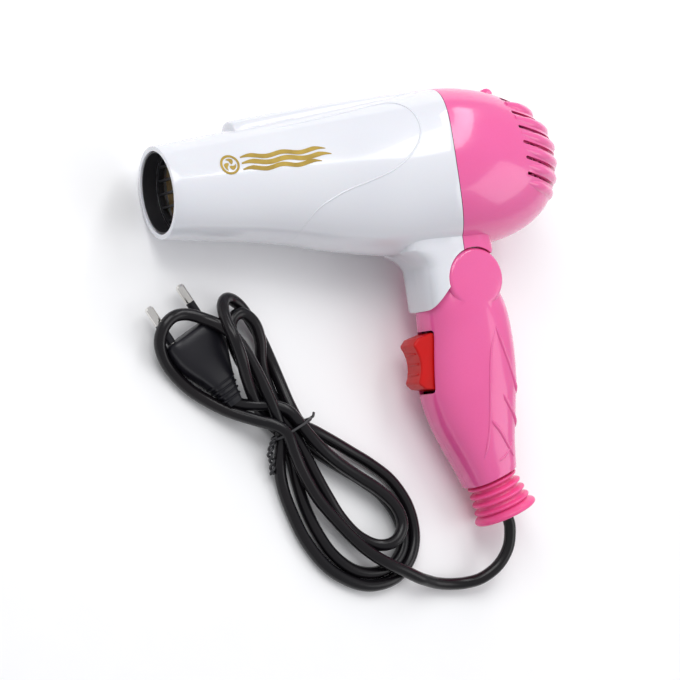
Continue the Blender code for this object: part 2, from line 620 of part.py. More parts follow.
def build_drive(parent, fan_parent):
    """Motor, its mount, the shaft and the fan."""
    axis = (1, 0, 0)

    def at(x):
        """Point of the motor's axis."""
        return Vector((x, AXIS_Y, 0))

    sleeve_inner = MOTOR_RADIUS + GAP
    sleeve_front, sleeve_rear = SHROUD_FRONT - 14 * MM, SHROUD_FRONT + 2 * MM
    mount = turned("motor_mount", [(sleeve_inner + 1.4 * MM, sleeve_rear - sleeve_front),
                                   (sleeve_inner + 1.4 * MM, 0), (sleeve_inner, 0),
                                   (sleeve_inner, sleeve_rear - sleeve_front)], at(sleeve_front), axis)
    shroud = turned("shroud", [(SHROUD_OUTER, SHROUD_REAR - SHROUD_FRONT), (SHROUD_OUTER, 0), (SHROUD_INNER, 0),
                               (SHROUD_INNER, SHROUD_REAR - SHROUD_FRONT)], at(SHROUD_FRONT), axis, 40)
    for i in range(VANE_COUNT):
        vane = box(f"vane_{i}", (SHROUD_FRONT + 0.2 * MM, sleeve_inner + 0.6 * MM, -0.7 * MM),
                   (SHROUD_FRONT + 6.5 * MM, SHROUD_INNER + 0.5 * MM, 0.7 * MM))
        vane.data.transform(Matrix.Translation((-4.8 * MM, 0, 0)))
        vane.data.transform(Matrix.Translation((0, AXIS_Y, 0)) @ Matrix.Rotation(math.tau * i / VANE_COUNT, 4, "X"))
        combine(mount, "UNION", finish(vane))
    combine(mount, "UNION", finish(shroud))
    finish(mount, parent, "black")

    nose = 4.5 * MM
    length = MOTOR_REAR - MOTOR_FRONT
    shaft_room = SHAFT_RADIUS + 0.35 * MM
    finish(turned("motor_can", [(MOTOR_RADIUS, length), (MOTOR_RADIUS, 1.5 * MM), (MOTOR_RADIUS - 1.5 * MM, 0),
                                (nose, 0), (nose, -1.5 * MM), (shaft_room, -1.5 * MM), (shaft_room, length)],
                  at(MOTOR_FRONT), axis), parent, "steel")
    finish(turned("motor_end_cap", [(MOTOR_RADIUS, 2 * MM), (MOTOR_RADIUS, 0), (shaft_room, 0),
                                    (shaft_room, 3.4 * MM), (nose, 3.4 * MM), (nose, 2 * MM)],
                  at(MOTOR_REAR + GAP), axis), parent, "black")
    finish(turned("motor_board", [(MOTOR_RADIUS + 2 * MM, 1.4 * MM), (MOTOR_RADIUS + 2 * MM, 0),
                                  (nose + 1 * MM, 0), (nose + 1 * MM, 1.4 * MM)],
                  at(MOTOR_FRONT - 2 * MM), axis), parent, "board")
    finish(rod("motor_shaft", SHAFT_RADIUS, at(MOTOR_FRONT - 4 * MM), at(FAN_X + 5 * MM), 16), fan_parent, "steel")

    hub = turned("fan_impeller", [(FAN_HUB_RADIUS, FAN_LENGTH - 2 * MM), (FAN_HUB_RADIUS, 0), (SHAFT_RADIUS + GAP, 0),
                                  (SHAFT_RADIUS + GAP, FAN_LENGTH), (FAN_HUB_RADIUS - 2 * MM, FAN_LENGTH)],
                 at(FAN_X - FAN_LENGTH / 2), axis, 24)
    for i in range(BLADE_COUNT):
        chord = 15 * MM
        blade = box(f"blade_{i}", (-chord / 2, FAN_HUB_RADIUS - 1 * MM, -0.6 * MM),
                    (chord / 2, FAN_RADIUS, 0.6 * MM))
        blade.data.transform(Matrix.Rotation(BLADE_PITCH, 4, "Y"))
        blade.data.transform(Matrix.Translation(at(FAN_X)) @ Matrix.Rotation(math.tau * i / BLADE_COUNT, 4, "X"))
        combine(hub, "UNION", finish(blade))
    finish(hub, fan_parent, "black")


def build_heater(parent):
    """Mica liner, crossed cards, heating coil, cut-outs and outlet grille."""
    length = LINER_REAR - LINER_FRONT
    finish(turned("mica_liner", [(LINER_RADIUS, length), (LINER_RADIUS, 0), (LINER_RADIUS - 0.5 * MM, 0),
                                 (LINER_RADIUS - 0.5 * MM, length)], (LINER_FRONT, 0, 0), (1, 0, 0)), parent, "mica")
    middle = (CARD_FRONT + CARD_REAR) / 2
    half, room = CARD_THICKNESS / 2, CARD_THICKNESS / 2 + GAP
    upright = box("mica_card_a", (CARD_FRONT, -CARD_HALF_WIDTH, -half), (CARD_REAR, CARD_HALF_WIDTH, half))
    combine(upright, "DIFFERENCE", finish(box("card_slot_a", (middle - GAP, -room, -FAR), (FAR, room, FAR))))
    finish(upright, parent, "mica")
    level = box("mica_card_b", (CARD_FRONT, -half, -CARD_HALF_WIDTH), (CARD_REAR, half, CARD_HALF_WIDTH))
    combine(level, "DIFFERENCE", finish(box("card_slot_b", (-FAR, -FAR, -room), (middle + GAP, FAR, room))))
    finish(level, parent, "mica")
    steps = 12
    points = []
    start, end = CARD_FRONT + 6 * MM, CARD_REAR - 14 * MM
    for i in range(COIL_TURNS * steps + 1):
        angle = math.tau * i / steps
        points.append((start + (end - start) * i / (COIL_TURNS * steps),
                       COIL_RADIUS * math.cos(angle), COIL_RADIUS * math.sin(angle)))
    finish(tube("heater_coil", points, COIL_WIRE, 1), parent, "nichrome")
    finish(rod("thermostat", 4 * MM, (CARD_REAR - 8 * MM, 6.5 * MM, half + GAP),
               (CARD_REAR - 8 * MM, 6.5 * MM, half + 5 * MM), 20), parent, "steel")
    finish(rod("thermal_fuse", 1.6 * MM, (CARD_REAR - 13 * MM, -6.5 * MM, half + 2 * MM),
               (CARD_REAR - 3 * MM, -6.5 * MM, half + 2 * MM), 16), parent, "beige")
    reach = LINER_RADIUS
    grille = turned("outlet_grille", [(reach, 2.5 * MM), (reach, 0), (reach - 1.6 * MM, 0), (reach - 1.6 * MM, 2.5 * MM)],
                    (GRILLE_X, 0, 0), (1, 0, 0))
    for i in range(GRILLE_SLATS):
        offset = (i - (GRILLE_SLATS - 1) / 2) * 2 * reach / (GRILLE_SLATS + 1)
        half_span = math.sqrt(reach**2 - offset**2) - 0.8 * MM
        slat = box(f"slat_{i}", (GRILLE_X + 0.2 * MM, offset - 0.5 * MM, -half_span),
                   (GRILLE_X + 2.3 * MM, offset + 0.5 * MM, half_span))
        combine(grille, "UNION", finish(slat))
    post = finish(box("grille_post", (GRILLE_X + 0.3 * MM, -reach + 0.8 * MM, -0.5 * MM),
                      (GRILLE_X + 2.2 * MM, reach - 0.8 * MM, 0.5 * MM)))
    finish(combine(grille, "UNION", post), parent, "black")
    leads = [(130 * MM, -47 * MM), (129.4 * MM, -40.5 * MM), (126 * MM, -36.6 * MM), (121.5 * MM, -35 * MM),
             (119.2 * MM, -31 * MM), (117.8 * MM, -26.5 * MM), (112 * MM, -24 * MM), (103 * MM, -23.5 * MM),
             (97 * MM, -19 * MM), (95.4 * MM, -11 * MM), (95.3 * MM, -5 * MM)]
    finish(tube("heater_leads", [(x, y, 0) for x, y in leads], 1.2 * MM), parent, "black")


# --- handle ----------------------------------------------------------------------------------
def handle_ring(row, inset):
    """Ring of the handle at one station."""
    y, front, rear, share = row
    middle, reach = (front + rear) / 2, (rear - front) / 2 - inset
    width = HANDLE_HALF_WIDTH * share - inset
    ring = []
    for i in range(RING_POINTS):
        angle = math.tau * (i + 0.5) / RING_POINTS
        cos, sin = math.cos(angle), math.sin(angle)
        ring.append((middle + reach * math.copysign(abs(cos) ** 0.85, cos), y,
                     width * math.copysign(abs(sin) ** 0.85, sin)))
    return ring


def handle_down():
    """Direction in which the cord leaves the handle."""
    return Vector((math.sin(HANDLE_TILT), -math.cos(HANDLE_TILT), 0))


def beyond_face(name, centre, direction):
    """Cutter for everything past a plane through centre that faces along direction."""
    cutter = box(name, (-FAR, -FAR, 0), (FAR, FAR, FAR))
    cutter.data.transform(Matrix.Translation(centre) @ direction.to_track_quat("Z", "Y").to_matrix().to_4x4())
    return finish(cutter)


def build_handle(parent):
    """Handle halves with their knuckle, and the hinge pin."""
    down = handle_down()
    outer = finish(loft("handle_outer", [handle_ring(row, 0) for row in HANDLE_STATIONS]))
    rows = [row for row in HANDLE_STATIONS if row[0] < CAVITY_TOP]
    top = (CAVITY_TOP, *rows[0][1:])
    inner = finish(loft("handle_inner", [handle_ring(row, WALL) for row in (top, *rows)]))
    combine(inner, "DIFFERENCE", beyond_face("cavity_end", HANDLE_END - down * WALL, down))
    bottom = beyond_face("handle_bottom", HANDLE_END, down)
    reach = Vector((0, 0, KNUCKLE_HALF_WIDTH))
    knuckle = finish(rod("knuckle", KNUCKLE_RADIUS, PIVOT - reach, PIVOT + reach, 48))
    side = (STOP_TOP - STOP_BOTTOM).normalized()
    out = Vector((-side.y, side.x, 0)) * GAP
    away = [STOP_BOTTOM - side * 30 * MM - out, STOP_TOP - out, Vector((PIVOT.x, STOP_TOP.y + 2 * MM, 0)),
            Vector((PIVOT.x + 30 * MM, STOP_TOP.y + 2 * MM, 0)), Vector((PIVOT.x + 30 * MM, 0, 0)),
            Vector((PIVOT.x - 90 * MM, 0, 0))]
    above = finish(plate("above_stop", [(p.x, p.y) for p in away], -FAR, FAR))
    lug_room = EAR_INNER
    slot = finish(rod("lug_room", KNUCKLE_RADIUS + 1 * MM, PIVOT - Vector((0, 0, lug_room)),
                      PIVOT + Vector((0, 0, lug_room)), 40))
    bore = finish(rod("ear_bore", PIN_RADIUS + GAP, PIVOT - Vector((0, 0, KNUCKLE_HALF_WIDTH - 1.5 * MM)),
                      PIVOT + Vector((0, 0, KNUCKLE_HALF_WIDTH - 1.5 * MM)), 24))
    relief_hole = finish(rod("relief_hole", RELIEF_RADIUS + GAP, HANDLE_END - down * 10 * MM, HANDLE_END + down * 10 * MM))
    window = finish(box("window", (ROCKER_FRONT - 9 * MM, ROCKER_PIVOT.y - ROCKER_LENGTH / 2 - WINDOW_GAP,
                                   -ROCKER_HALF_WIDTH - WINDOW_GAP),
                        (ROCKER_PIVOT.x, ROCKER_PIVOT.y + ROCKER_LENGTH / 2 + WINDOW_GAP,
                         ROCKER_HALF_WIDTH + WINDOW_GAP)))
    trim = finish(loft("handle_trim", [handle_ring(row, 0.3 * MM) for row in HANDLE_STATIONS]))
    bosses = []
    rooms = []
    for i, place in enumerate(HANDLE_SCREWS):
        boss = finish(rod(f"handle_boss_{i}", 3.6 * MM, (*place, -20 * MM), (*place, 20 * MM), 24))
        bosses.append(combine(boss, "INTERSECT", trim))
        rooms.extend(screw_room(f"handle_screw_{i}", place, HANDLE_SCREW_HEAD))
    for sign, name in ((1, "handle_near_half"), (-1, "handle_far_half")):
        shell = outer.copy()
        shell.data = outer.data.copy()
        shell.name = name
        shell.hide_render = False
        shell.display_type = "TEXTURED"
        combine(shell, "DIFFERENCE", above)
        combine(shell, "UNION", knuckle)
        combine(shell, "DIFFERENCE", inner, bottom)
        combine(shell, "UNION", *bosses)
        combine(shell, "DIFFERENCE", slot, bore, relief_hole, window, *rooms)
        combine(shell, "INTERSECT", half_space(name + "_side", sign))
        finish(shell, parent, "pink")
    for i, place in enumerate(HANDLE_SCREWS):
        screw_piece(f"handle_screw_{i + 1}", place, parent, HANDLE_SCREW_HEAD)
    end = Vector((0, 0, KNUCKLE_HALF_WIDTH - 1.5 * MM - GAP))
    finish(rod("hinge_pin", PIN_RADIUS, PIVOT - end, PIVOT + end, 24), parent, "steel")
    for sign, name in ((1, "hinge_washer_near"), (-1, "hinge_washer_far")):
        low = LUG_HALF_WIDTH + GAP
        thick = EAR_INNER - GAP - low
        profile = [(WASHER_RADIUS, thick), (WASHER_RADIUS, 0), (PIN_RADIUS + GAP, 0), (PIN_RADIUS + GAP, thick)]
        finish(turned(name, profile, PIVOT + Vector((0, 0, sign * low)), (0, 0, sign), 24), parent, "steel")


def rocker_outline():
    """Side view of the rocker: two raised ends, a dip between them and a rounded back."""
    top, bottom = ROCKER_PIVOT.y + ROCKER_LENGTH / 2, ROCKER_PIVOT.y - ROCKER_LENGTH / 2
    lip = 4.4 * MM
    steps = 6
    front = []
    for i in range(steps + 1):
        t = i / steps
        y = (top - lip) + (bottom - top + 2 * lip) * t
        front.append((ROCKER_FRONT + ROCKER_DIP * (1 - (2 * t - 1) ** 2), y))
    root = ROCKER_PIVOT.x - 4.5 * MM
    return [(root, top), (ROCKER_FRONT + 2.6 * MM, top - ROCKER_TAPER), *front,
            (ROCKER_FRONT + 2.6 * MM, bottom + ROCKER_TAPER), (root, bottom),
            (ROCKER_PIVOT.x, bottom + 4 * MM), (ROCKER_REAR, ROCKER_PIVOT.y - 3 * MM),
            (ROCKER_REAR, ROCKER_PIVOT.y + 3 * MM), (ROCKER_PIVOT.x, top - 4 * MM)]


def build_switch(parent, rocker_parent):
    """Rocker, its pin, the switch housing and the terminals."""
    rocker = plate("rocker_button", rocker_outline(), -ROCKER_HALF_WIDTH, ROCKER_HALF_WIDTH)
    soften = rocker.modifiers.new("soften", "BEVEL")
    soften.width = 0.6 * MM
    soften.segments = 1
    soften.angle_limit = math.radians(50)
    reach = Vector((0, 0, FAR))
    bore = finish(rod("rocker_bore", ROCKER_PIN_RADIUS + GAP, ROCKER_PIVOT - reach, ROCKER_PIVOT + reach, 20))
    finish(combine(rocker, "DIFFERENCE", bore), rocker_parent, "red")
    half = Vector((0, 0, HOUSING_HALF_WIDTH - 0.2 * MM))
    finish(rod("rocker_pin", ROCKER_PIN_RADIUS, ROCKER_PIVOT - half, ROCKER_PIVOT + half, 20), parent, "steel")
    top, bottom = ROCKER_PIVOT.y + ROCKER_LENGTH / 2 + 1.5 * MM, ROCKER_PIVOT.y - ROCKER_LENGTH / 2 - 1.5 * MM
    housing = box("switch_housing", (HOUSING_FLOOR, bottom, -HOUSING_HALF_WIDTH),
                  (HOUSING_REAR, top, HOUSING_HALF_WIDTH))
    for sign in (1, -1):
        low, high = sorted((sign * (ROCKER_HALF_WIDTH + GAP), sign * (HOUSING_HALF_WIDTH - 0.01 * MM)))
        cheek = box(f"cheek_{sign}", (HOUSING_FRONT, ROCKER_PIVOT.y - CHEEK_REACH, low),
                    (HOUSING_FLOOR + 1 * MM, ROCKER_PIVOT.y + CHEEK_REACH, high))
        combine(housing, "UNION", finish(cheek))
    pin_room = rod("pin_room", ROCKER_PIN_RADIUS + GAP, ROCKER_PIVOT - reach, ROCKER_PIVOT + reach, 20)
    finish(combine(housing, "DIFFERENCE", finish(pin_room)), parent, "black")
    for i in range(3):
        y = ROCKER_PIVOT.y + (1 - i) * 8 * MM
        blade = box(f"switch_terminal_{i + 1}", (HOUSING_REAR + GAP, y - 2.4 * MM, -0.4 * MM),
                    (HOUSING_REAR + 7 * MM, y + 2.4 * MM, 0.4 * MM))
        finish(blade, parent, "brass")
    x = HOUSING_REAR + 10.5 * MM
    wires = [(x - 1.5 * MM, -113 * MM, 0), (x, -105 * MM, 0), (x, -95 * MM, 0), (x - 2 * MM, -88 * MM, 4 * MM),
             (x - 4.5 * MM, -80 * MM, 5.5 * MM), (x - 5 * MM, -74.5 * MM, 3 * MM)]
    finish(tube("switch_wires", wires, 1.2 * MM), parent, "black")


def relief_profile():
    """Bellows of the strain relief, from its collar inside the handle to its flange."""
    bore = CORD_RADIUS + GAP
    lip = 1.2 * MM
    profile = [(RELIEF_RADIUS + 2 * MM, -WALL - GAP - 2 * MM), (RELIEF_RADIUS + 2 * MM, -WALL - GAP),
               (RELIEF_RADIUS, -WALL - GAP), (RELIEF_RADIUS, GAP)]
    ring_heights = (1.4 * MM, 5.2 * MM, 9.0 * MM, 12.8 * MM)
    for i, height in enumerate(ring_heights):
        core = RELIEF_RADIUS + (0.3 + 0.9 * i) * MM
        rim = 11.7 * MM + 0.5 * MM * i
        profile += [(core, height - 0.3 * MM), (rim, height), (rim, height + lip), (core + 0.4 * MM, height + lip + 0.5 * MM)]
    profile += [(FLANGE_RADIUS, RELIEF_LENGTH - 2 * MM), (FLANGE_RADIUS, RELIEF_LENGTH), (bore, RELIEF_LENGTH)]
    profile += [(bore, -WALL - GAP - 2 * MM)]
    return profile


def build_relief(parent):
    """Strain relief, the cord's end inside the handle and the clamp that holds it."""
    down = handle_down()
    finish(turned("strain_relief", list(reversed(relief_profile())), HANDLE_END, down), parent, "hot_pink")
    inside = [HANDLE_END + down * (RELIEF_LENGTH - GAP), HANDLE_END, HANDLE_END - down * 8 * MM,
              HANDLE_END - down * 18 * MM, HANDLE_END - down * 26 * MM]
    finish(tube("cord_tail", inside, CORD_RADIUS, 3), parent, "black")
    clamp_at = HANDLE_END - down * 18 * MM
    across = Vector((-down.y, down.x, 0))
    clamp = box("cord_clamp", (-9 * MM, -2.5 * MM, CORD_RADIUS + GAP), (9 * MM, 2.5 * MM, CORD_RADIUS + GAP + 2.4 * MM))
    turn = Matrix((across, -down, Vector((0, 0, 1)))).transposed().to_4x4()
    clamp.data.transform(Matrix.Translation(clamp_at) @ turn)
    clamp.data.update()
    finish(clamp, parent, "beige")


# --- cord, tie and plug ----------------------------------------------------------------------
def smooth_chain(points, steps, closed=False):
    """Points on a smooth curve through the given ones, with so many steps between two of them."""
    count = len(points)
    chain = []
    for i in range(count if closed else count - 1):
        if closed:
            near = [Vector(points[(i + k) % count]) for k in (-1, 0, 1, 2)]
        else:
            near = [Vector(points[min(max(i + k, 0), count - 1)]) for k in (-1, 0, 1, 2)]
        before, start, end, after = near
        for step in range(steps):
            t = step / steps
            chain.append(0.5 * (2 * start + (end - before) * t + (2 * before - 5 * start + 4 * end - after) * t**2
                                + (3 * start - before - 3 * end + after) * t**3))
    if not closed:
        chain.append(Vector(points[-1]))
    return chain


def plug_side():
    """Direction across the plug."""
    return Vector((-PLUG_AHEAD.y, PLUG_AHEAD.x, 0))


def plug_ring(behind, width, height):
    """Ring of the plug's body, a rounded rectangle."""
    centre = PLUG_FRONT - PLUG_AHEAD * behind
    ring = []
    for i in range(24):
        angle = math.tau * (i + 0.5) / 24
        cos, sin = math.cos(angle), math.sin(angle)
        ring.append(centre + plug_side() * (width * math.copysign(abs(cos) ** 0.5, cos))
                    + Vector((0, 0, height * math.copysign(abs(sin) ** 0.5, sin))))
    return ring


def build_plug(parent):
    """Two-pin plug: body, pins and their sleeves."""
    body = loft("plug_body", [plug_ring(*row) for row in PLUG_STATIONS])
    sunk = 3 * MM
    core = PLUG_PIN_RADIUS - 0.7 * MM
    for sign, name in ((1, "left"), (-1, "right")):
        root = PLUG_FRONT + plug_side() * (sign * PIN_SPACING / 2)
        tip = PIN_LENGTH - 1.2 * MM
        shoulder = SLEEVE_LENGTH + 2 * GAP
        profile = [(0, PIN_LENGTH), (core, PIN_LENGTH - 0.3 * MM), (PLUG_PIN_RADIUS, tip), (PLUG_PIN_RADIUS, shoulder),
                   (core, shoulder), (core, -sunk), (0, -sunk)]
        finish(turned(f"plug_pin_{name}", profile, root, PLUG_AHEAD, 16), parent, "steel")
        sleeve = [(PLUG_PIN_RADIUS, SLEEVE_LENGTH + GAP), (PLUG_PIN_RADIUS, GAP), (core + GAP, GAP),
                  (core + GAP, SLEEVE_LENGTH + GAP)]
        finish(turned(f"pin_sleeve_{name}", sleeve, root, PLUG_AHEAD, 16), parent, "black")
        socket = rod(f"pin_socket_{name}", core + GAP, root - PLUG_AHEAD * (sunk + GAP), root + PLUG_AHEAD * sunk, 16)
        combine(body, "DIFFERENCE", finish(socket, parent))
    finish(body, parent, "black")


def build_hank(parent):
    """Tied hank of cord, with room for the plug that lies in its left loop, and the tie."""
    outline = [(p.x, p.y) for p in smooth_chain([(*p, 0) for p in HANK_OUTLINE], 2, closed=True)]
    hank = plate("cord_hank", outline, HANK_LOW, HANK_HIGH)
    room = [PLUG_FRONT + PLUG_AHEAD * 40 * MM + plug_side() * (PLUG_STATIONS[1][1] + GAP) * side for side in (1, -1)]
    for side, rows in ((-1, PLUG_STATIONS[1:]), (1, reversed(PLUG_STATIONS[1:]))):
        room.extend(PLUG_FRONT - PLUG_AHEAD * (behind + GAP) + plug_side() * (side * (width + 2 * GAP))
                    for behind, width, _ in rows)
    notch = plate("plug_room", [(p.x, p.y) for p in room], -FAR, FAR)
    combine(hank, "DIFFERENCE", finish(notch, parent))
    finish(hank, parent, "black")
    along = Vector((-WAIST_ACROSS.y, WAIST_ACROSS.x, 0))
    turn = Matrix((WAIST_ACROSS, along, Vector((0, 0, 1)))).transposed().to_4x4()
    gap = WAIST_HALF_WIDTH + GAP
    band = box("cord_tie", (-gap - TIE_THICKNESS, -TIE_WIDTH / 2, HANK_LOW - GAP - TIE_THICKNESS),
               (gap + TIE_THICKNESS, TIE_WIDTH / 2, HANK_HIGH + GAP + TIE_THICKNESS))
    hole = box("tie_hole", (-gap, -TIE_WIDTH, HANK_LOW - GAP), (gap, TIE_WIDTH, HANK_HIGH + GAP))
    for piece in (band, hole):
        piece.data.transform(Matrix.Translation(WAIST) @ turn)
    finish(combine(band, "DIFFERENCE", finish(hole, parent)), parent, "black")


def build_cord(parent):
    """Everything on the table: the cord's lead, its hank, the tie and the plug."""
    finish(tube("cord_lead", smooth_chain(CORD_LEAD, LEAD_STEPS), CORD_RADIUS, 3), parent, "black")
    build_hank(parent)
    build_plug(parent)


# --- putting it together ---------------------------------------------------------------------
def resting_normal():
    """Table's normal in the dryer's frame, with the dryer on its nozzle, bulge and flange."""
    down = handle_down()
    bulge = Vector((SHOULDER_X, (SHOULDER_TOP + SHOULDER_BOTTOM) / 2, 0))
    reach = (SHOULDER_TOP - SHOULDER_BOTTOM) / 2
    flange = HANDLE_END + down * (RELIEF_LENGTH - 1 * MM)
    normal = Vector((0, 0, 1))
    for _ in range(12):
        flat = Vector((0, normal.y, normal.z)).normalized()
        rim_touch = -MOUTH_RADIUS * flat
        spread = Vector((0, reach**2 * normal.y, SHOULDER_WIDTH**2 * normal.z))
        bulge_touch = bulge - spread / math.hypot(reach * normal.y, SHOULDER_WIDTH * normal.z)
        level = (normal - normal.dot(down) * down).normalized()
        flange_touch = flange - FLANGE_RADIUS * level
        normal = (bulge_touch - rim_touch).cross(flange_touch - rim_touch).normalized()
        normal *= math.copysign(1, normal.z)
    return normal


def lay_down(stand):
    """Turn the dryer onto the table and put the middle of its footprint at the origin."""
    up = resting_normal()
    along = (Vector((1, 0, 0)) - up * up.x).normalized()
    turn = Matrix((along, up.cross(along), up)).to_4x4()
    stand.matrix_world = turn
    bpy.context.view_layer.update()
    graph = bpy.context.evaluated_depsgraph_get()
    low, high = Vector((1, 1, 1)), Vector((-1, -1, -1))
    for obj in PARTS.objects:
        seen = obj.evaluated_get(graph)
        data = seen.to_mesh()
        for vertex in data.vertices:
            point = seen.matrix_world @ vertex.co
            low = Vector(map(min, low, point))
            high = Vector(map(max, high, point))
        seen.to_mesh_clear()
    middle = (low + high) / 2
    stand.matrix_world = Matrix.Translation((-middle.x, -middle.y, -low.z)) @ turn


for old in list(bpy.data.objects):
    bpy.data.objects.remove(old)
PARTS = fresh_collection("hair_dryer")
CUTTERS = fresh_collection("cutters")
DRYER = holder("dryer")
BARREL = holder("barrel_turn", DRYER, PIVOT)
FAN = holder("fan_turn", BARREL, (FAN_X, AXIS_Y, 0))
ROCKER = holder("rocker_turn", DRYER, ROCKER_PIVOT)

build_barrel(BARREL)
build_screen(BARREL)
build_drive(BARREL, FAN)
build_heater(BARREL)
build_handle(DRYER)
build_switch(DRYER, ROCKER)
build_relief(DRYER)
lay_down(DRYER)
build_cord(holder("cord"))
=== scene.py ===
"""Folding travel hair dryer on a pale table, with its tied lead and two-pin plug.

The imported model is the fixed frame.  Everything on the dryer is modelled in the dryer's own axes
(origin at the centre of the nozzle mouth, +X to the rear, +Y away from the handle, +Z towards the
side that lies uppermost) and then laid where the record says.  The cord is modelled on the table.
Lengths are in metres.
"""
from __future__ import annotations

import json
import logging
import math
from collections.abc import Callable, Iterable, Sequence
from dataclasses import dataclass, field
from enum import Enum

import bmesh
import bpy
from mathutils import Matrix, Vector


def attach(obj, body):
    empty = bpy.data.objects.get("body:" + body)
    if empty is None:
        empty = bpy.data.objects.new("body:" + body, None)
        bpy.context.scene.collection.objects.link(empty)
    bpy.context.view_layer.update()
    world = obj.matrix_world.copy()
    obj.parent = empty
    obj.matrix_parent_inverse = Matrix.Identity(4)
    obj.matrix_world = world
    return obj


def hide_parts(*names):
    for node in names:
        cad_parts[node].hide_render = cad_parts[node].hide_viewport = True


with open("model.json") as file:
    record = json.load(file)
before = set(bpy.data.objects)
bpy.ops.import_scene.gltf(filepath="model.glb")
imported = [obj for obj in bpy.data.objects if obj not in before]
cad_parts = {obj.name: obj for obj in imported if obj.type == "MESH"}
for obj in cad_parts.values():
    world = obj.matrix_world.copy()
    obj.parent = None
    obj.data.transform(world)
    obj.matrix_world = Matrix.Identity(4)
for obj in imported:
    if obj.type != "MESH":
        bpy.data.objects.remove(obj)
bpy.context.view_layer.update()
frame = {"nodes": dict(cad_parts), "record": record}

LOG = logging.getLogger("hair_dryer")
MM = 0.001


# --- where the dryer lies ----------------------------------------------------------------------
class Body(Enum):
    """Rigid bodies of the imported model."""

    HANDLE = "handle"
    BARREL = "barrel"
    FAN = "fan"
    ROCKER = "rocker"


class Slot(Enum):
    """Material slots of the record."""

    WHITE = "white_shell"
    PINK = "pink_shell"
    RUBBER = "pink_rubber"
    RED = "red_plastic"
    BLACK = "black_plastic"
    CORD = "black_cord"
    STEEL = "steel"
    NICKEL = "nickel"
    BRASS = "brass"
    MICA = "mica"
    WIRE = "heating_wire"
    BOARD = "board"
    BEIGE = "beige_plastic"


def resting_place(record: dict) -> Matrix:
    """Work out how the dryer's own axes lie on the table.

    Args:
        record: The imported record, with its joints and mounts.

    Returns:
        Matrix that takes a point of the dryer's axes to the table.
    """
    joints = {joint["name"]: joint for joint in record["behaviour"]["joints"]}
    mounts = {mount["name"]: mount for mount in record["mounts"]}
    across = Vector(joints["handle_fold"]["axis"]).normalized()
    along = Vector(joints["fan_spin"]["axis"]).normalized()
    upright = across.cross(along).normalized()
    rim_reach = 19 * MM
    origin = Vector(mounts["nozzle_mouth"]["pos_m"]) - across * rim_reach
    turn = Matrix((along, upright, across)).transposed().to_4x4()
    return Matrix.Translation(origin) @ turn


DRYER = resting_place(frame["record"])
TABLE = Matrix.Identity(4)


# --- modelling by hand -------------------------------------------------------------------------
Chooser = Callable[[Vector], bool]


def deselect_all() -> None:
    """Leave nothing selected."""
    for obj in list(bpy.context.selected_objects):
        obj.select_set(False)


def pick(obj: bpy.types.Object) -> bpy.types.Object:
    """Select one object alone and make it the active one.

    Args:
        obj: The object to work on.

    Returns:
        The same object.
    """
    deselect_all()
    obj.select_set(True)
    bpy.context.view_layer.objects.active = obj
    return obj


def edit_mesh() -> bmesh.types.BMesh:
    """Return the mesh that is open in edit mode."""
    return bmesh.from_edit_mesh(bpy.context.edit_object.data)


def move(step: Iterable[float]) -> None:
    """Move what is selected by a step."""
    bpy.ops.transform.translate(value=tuple(step))


def scale(factors: Iterable[float], centre: Iterable[float]) -> None:
    """Scale what is selected about a point."""
    bpy.ops.transform.resize(value=tuple(factors), center_override=tuple(centre))


@dataclass(frozen=True)
class Ring:
    """One section of a lofted piece, square to X in its own axes.

    Attributes:
        at: Place along X.
        middle: Height of its centre along Y.
        up: Reach above the centre.
        down: Reach below the centre.
        side: Reach to either side, along Z.
    """

    at: float
    middle: float
    up: float
    down: float
    side: float


def round_ring(at: float, radius: float) -> Ring:
    """Return a round section about the X axis."""
    return Ring(at, 0.0, radius, radius, radius)


